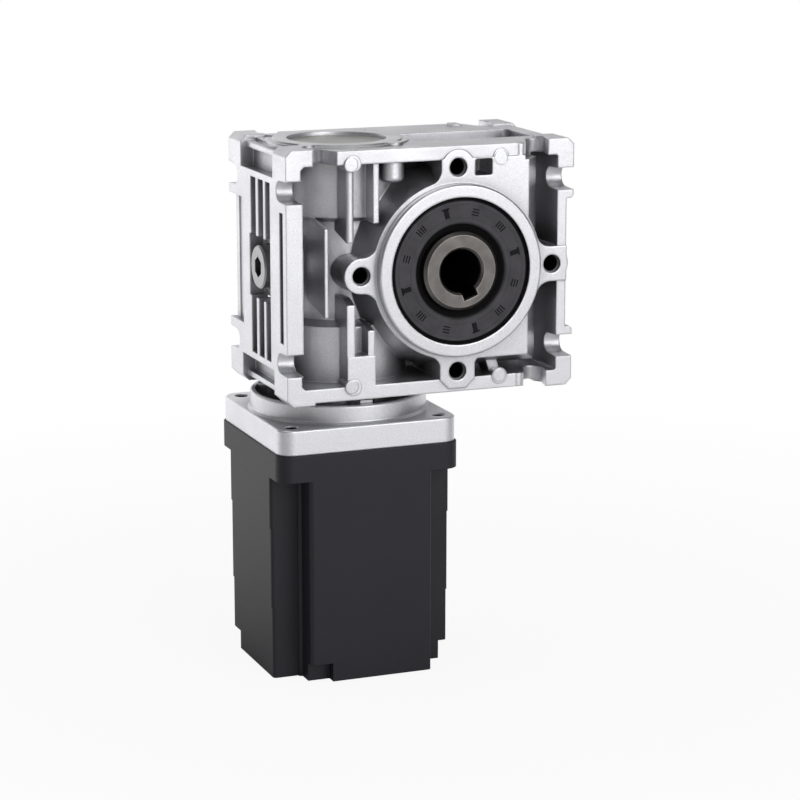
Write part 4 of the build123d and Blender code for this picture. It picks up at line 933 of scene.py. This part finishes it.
class GEARMOTOR_OT_stage(bpy.types.Operator):
    """Sets the camera, three softboxes, a white surround and a pale floor"""

    bl_idname = "gear_motor.stage"
    bl_label = "Studio"

    def execute(self, context):
        studio = context.scene.gear_motor_studio
        context.scene.view_settings.view_transform = "Standard"
        self.camera(context, studio)
        self.surround(context, studio)
        self.floor(context, studio)
        centre = Vector((-0.01, 0.0, -0.03))
        lamps = (
            ("front softbox", (0.30, -1.05, 0.38), 0.9, studio.key_power),
            ("left softbox", (-0.72, 0.86, 0.02), 0.6, studio.side_power),
            ("top softbox", (-0.10, 0.15, 1.05), 0.8, studio.top_power),
        )
        for name, place, size, power in lamps:
            data = bpy.data.lights.new(name, "AREA")
            data.size = size
            data.energy = power
            lamp = bpy.data.objects.new(name, data)
            lamp.location = place
            lamp.rotation_mode = "QUATERNION"
            lamp.rotation_quaternion = (centre - Vector(place)).to_track_quat("-Z", "Y")
            context.scene.collection.objects.link(lamp)
        return {"FINISHED"}

    def camera(self, context, studio):
        """The camera at the photograph's angle."""
        data = bpy.data.cameras.new("studio camera")
        data.lens = studio.lens
        data.sensor_width = 36.0
        camera = bpy.data.objects.new("studio camera", data)
        camera.location = studio.camera_place
        camera.rotation_mode = "QUATERNION"
        aim = Vector(studio.camera_aim) - Vector(studio.camera_place)
        camera.rotation_quaternion = aim.to_track_quat("-Z", "Y")
        context.scene.collection.objects.link(camera)
        context.scene.camera = camera

    def seen(self, tree):
        """1 for rays straight from the camera."""
        return put(tree, "ShaderNodeLightPath").outputs["Is Camera Ray"]

    def surround(self, context, studio):
        """White where it is seen and dimmer where it lights. Metal mirrors a darker room with a
        pale wall behind the camera and a bright one behind the object."""
        world = bpy.data.worlds.new("white surround")
        context.scene.world = world
        world.use_nodes = True
        tree = world.node_tree
        glow = tree.nodes["Background"]
        glow.inputs["Color"].default_value = (1.0, 1.0, 1.0, 1.0)
        glossy = put(tree, "ShaderNodeLightPath").outputs["Is Glossy Ray"]
        sight = put(tree, "ShaderNodeNewGeometry").outputs["Incoming"]
        along = put(tree, "ShaderNodeSeparateXYZ", Vector=sight).outputs["Y"]
        front = ramp(tree, along, 0.55, 0.95, 0.0, studio.front_wall)
        back = ramp(tree, along, -0.98, -0.7, studio.back_wall, 0.0)
        mirrored = calc(tree, "ADD", calc(tree, "ADD", front, back), studio.mirrored)
        dim = mix_value(tree, glossy, studio.ambient, mirrored)
        feed(tree, glow.inputs["Strength"], mix_value(tree, self.seen(tree), dim, 1.0))

    def floor(self, context, studio):
        """A wide pale floor that keeps the shadow near the motor and is plain white further out.
        Metal mirrors the white of the part that lies behind the object."""
        reach = 6.0
        low = cad_box[0][2]
        points = reach * np.array([(-1, -1, 0), (1, -1, 0), (1, 1, 0), (-1, 1, 0)]) + (0, 0, low)
        mesh = bpy.data.meshes.new("floor")
        mesh.from_pydata(points.tolist(), [], [(0, 1, 2, 3)])
        material, tree, shader, place = blank_finish("pale_floor")
        shader.inputs["Base Color"].default_value = (0.92, 0.92, 0.92, 1.0)
        shader.inputs["Roughness"].default_value = 0.7
        shader.inputs["Specular IOR Level"].default_value = 0.2
        distance = put(tree, "ShaderNodeVectorMath", {"operation": "LENGTH"}, Vector=place)
        far = ramp(tree, distance.outputs["Value"], 0.16, 0.40, studio.floor_lift, 1.0)
        behind = ramp(tree, put(tree, "ShaderNodeSeparateXYZ", Vector=place).outputs["Y"], 0.0, 0.2)
        glossy = put(tree, "ShaderNodeLightPath").outputs["Is Glossy Ray"]
        shown = calc(tree, "MAXIMUM", self.seen(tree), calc(tree, "MULTIPLY", glossy, behind))
        white = put(tree, "ShaderNodeEmission", Strength=1.0)
        blend = put(tree, "ShaderNodeMixShader")
        feed(tree, blend.inputs[0], calc(tree, "MULTIPLY", far, shown))
        feed(tree, blend.inputs[1], shader.outputs[0])
        feed(tree, blend.inputs[2], white.outputs[0])
        feed(tree, tree.nodes["Material Output"].inputs["Surface"], blend.outputs[0])
        mesh.materials.append(material)
        floor = bpy.data.objects.new("floor", mesh)
        context.scene.collection.objects.link(floor)


# Sidebar and registration

PROPERTIES = (GearMotorSizes, GearMotorColours, GearMotorStudio)
OPERATORS = (
    GEARMOTOR_OT_stage,
    GEARMOTOR_OT_castings,
    GEARMOTOR_OT_rail_studs,
    GEARMOTOR_OT_adapter,
    GEARMOTOR_OT_mount_threads,
    GEARMOTOR_OT_seals,
    GEARMOTOR_OT_output_shaft,
    GEARMOTOR_OT_closures,
    GEARMOTOR_OT_fasteners,
    GEARMOTOR_OT_motor_shells,
    GEARMOTOR_OT_gear_set,
    GEARMOTOR_OT_electrics,
)


class GEARMOTOR_PT_sidebar(bpy.types.Panel):
    """The gear motor's pieces and settings in the sidebar"""

    bl_label = "Gear Motor"
    bl_idname = "GEARMOTOR_PT_sidebar"
    bl_space_type = "VIEW_3D"
    bl_region_type = "UI"
    bl_category = "Gear Motor"

    def draw(self, context):
        layout = self.layout
        for operator in OPERATORS:
            layout.operator(operator.bl_idname)
        scene = context.scene
        for settings in (scene.gear_motor_sizes, scene.gear_motor_colours, scene.gear_motor_studio):
            box = layout.box()
            for name in settings.__annotations__:
                box.prop(settings, name)


def register():
    """Registers every class and hangs the settings on the scene."""
    for cls in PROPERTIES + OPERATORS + (GEARMOTOR_PT_sidebar,):
        bpy.utils.register_class(cls)
    bpy.types.Scene.gear_motor_sizes = PointerProperty(type=GearMotorSizes)
    bpy.types.Scene.gear_motor_colours = PointerProperty(type=GearMotorColours)
    bpy.types.Scene.gear_motor_studio = PointerProperty(type=GearMotorStudio)


def unregister():
    """Takes the settings and classes away again."""
    del bpy.types.Scene.gear_motor_studio
    del bpy.types.Scene.gear_motor_colours
    del bpy.types.Scene.gear_motor_sizes
    for cls in reversed(PROPERTIES + OPERATORS + (GEARMOTOR_PT_sidebar,)):
        bpy.utils.unregister_class(cls)


def main():
    """Builds everything in order."""
    register()
    for operator in OPERATORS:
        group, name = operator.bl_idname.split(".")
        getattr(getattr(bpy.ops, group), name)()


if __name__ == "__main__":
    main()
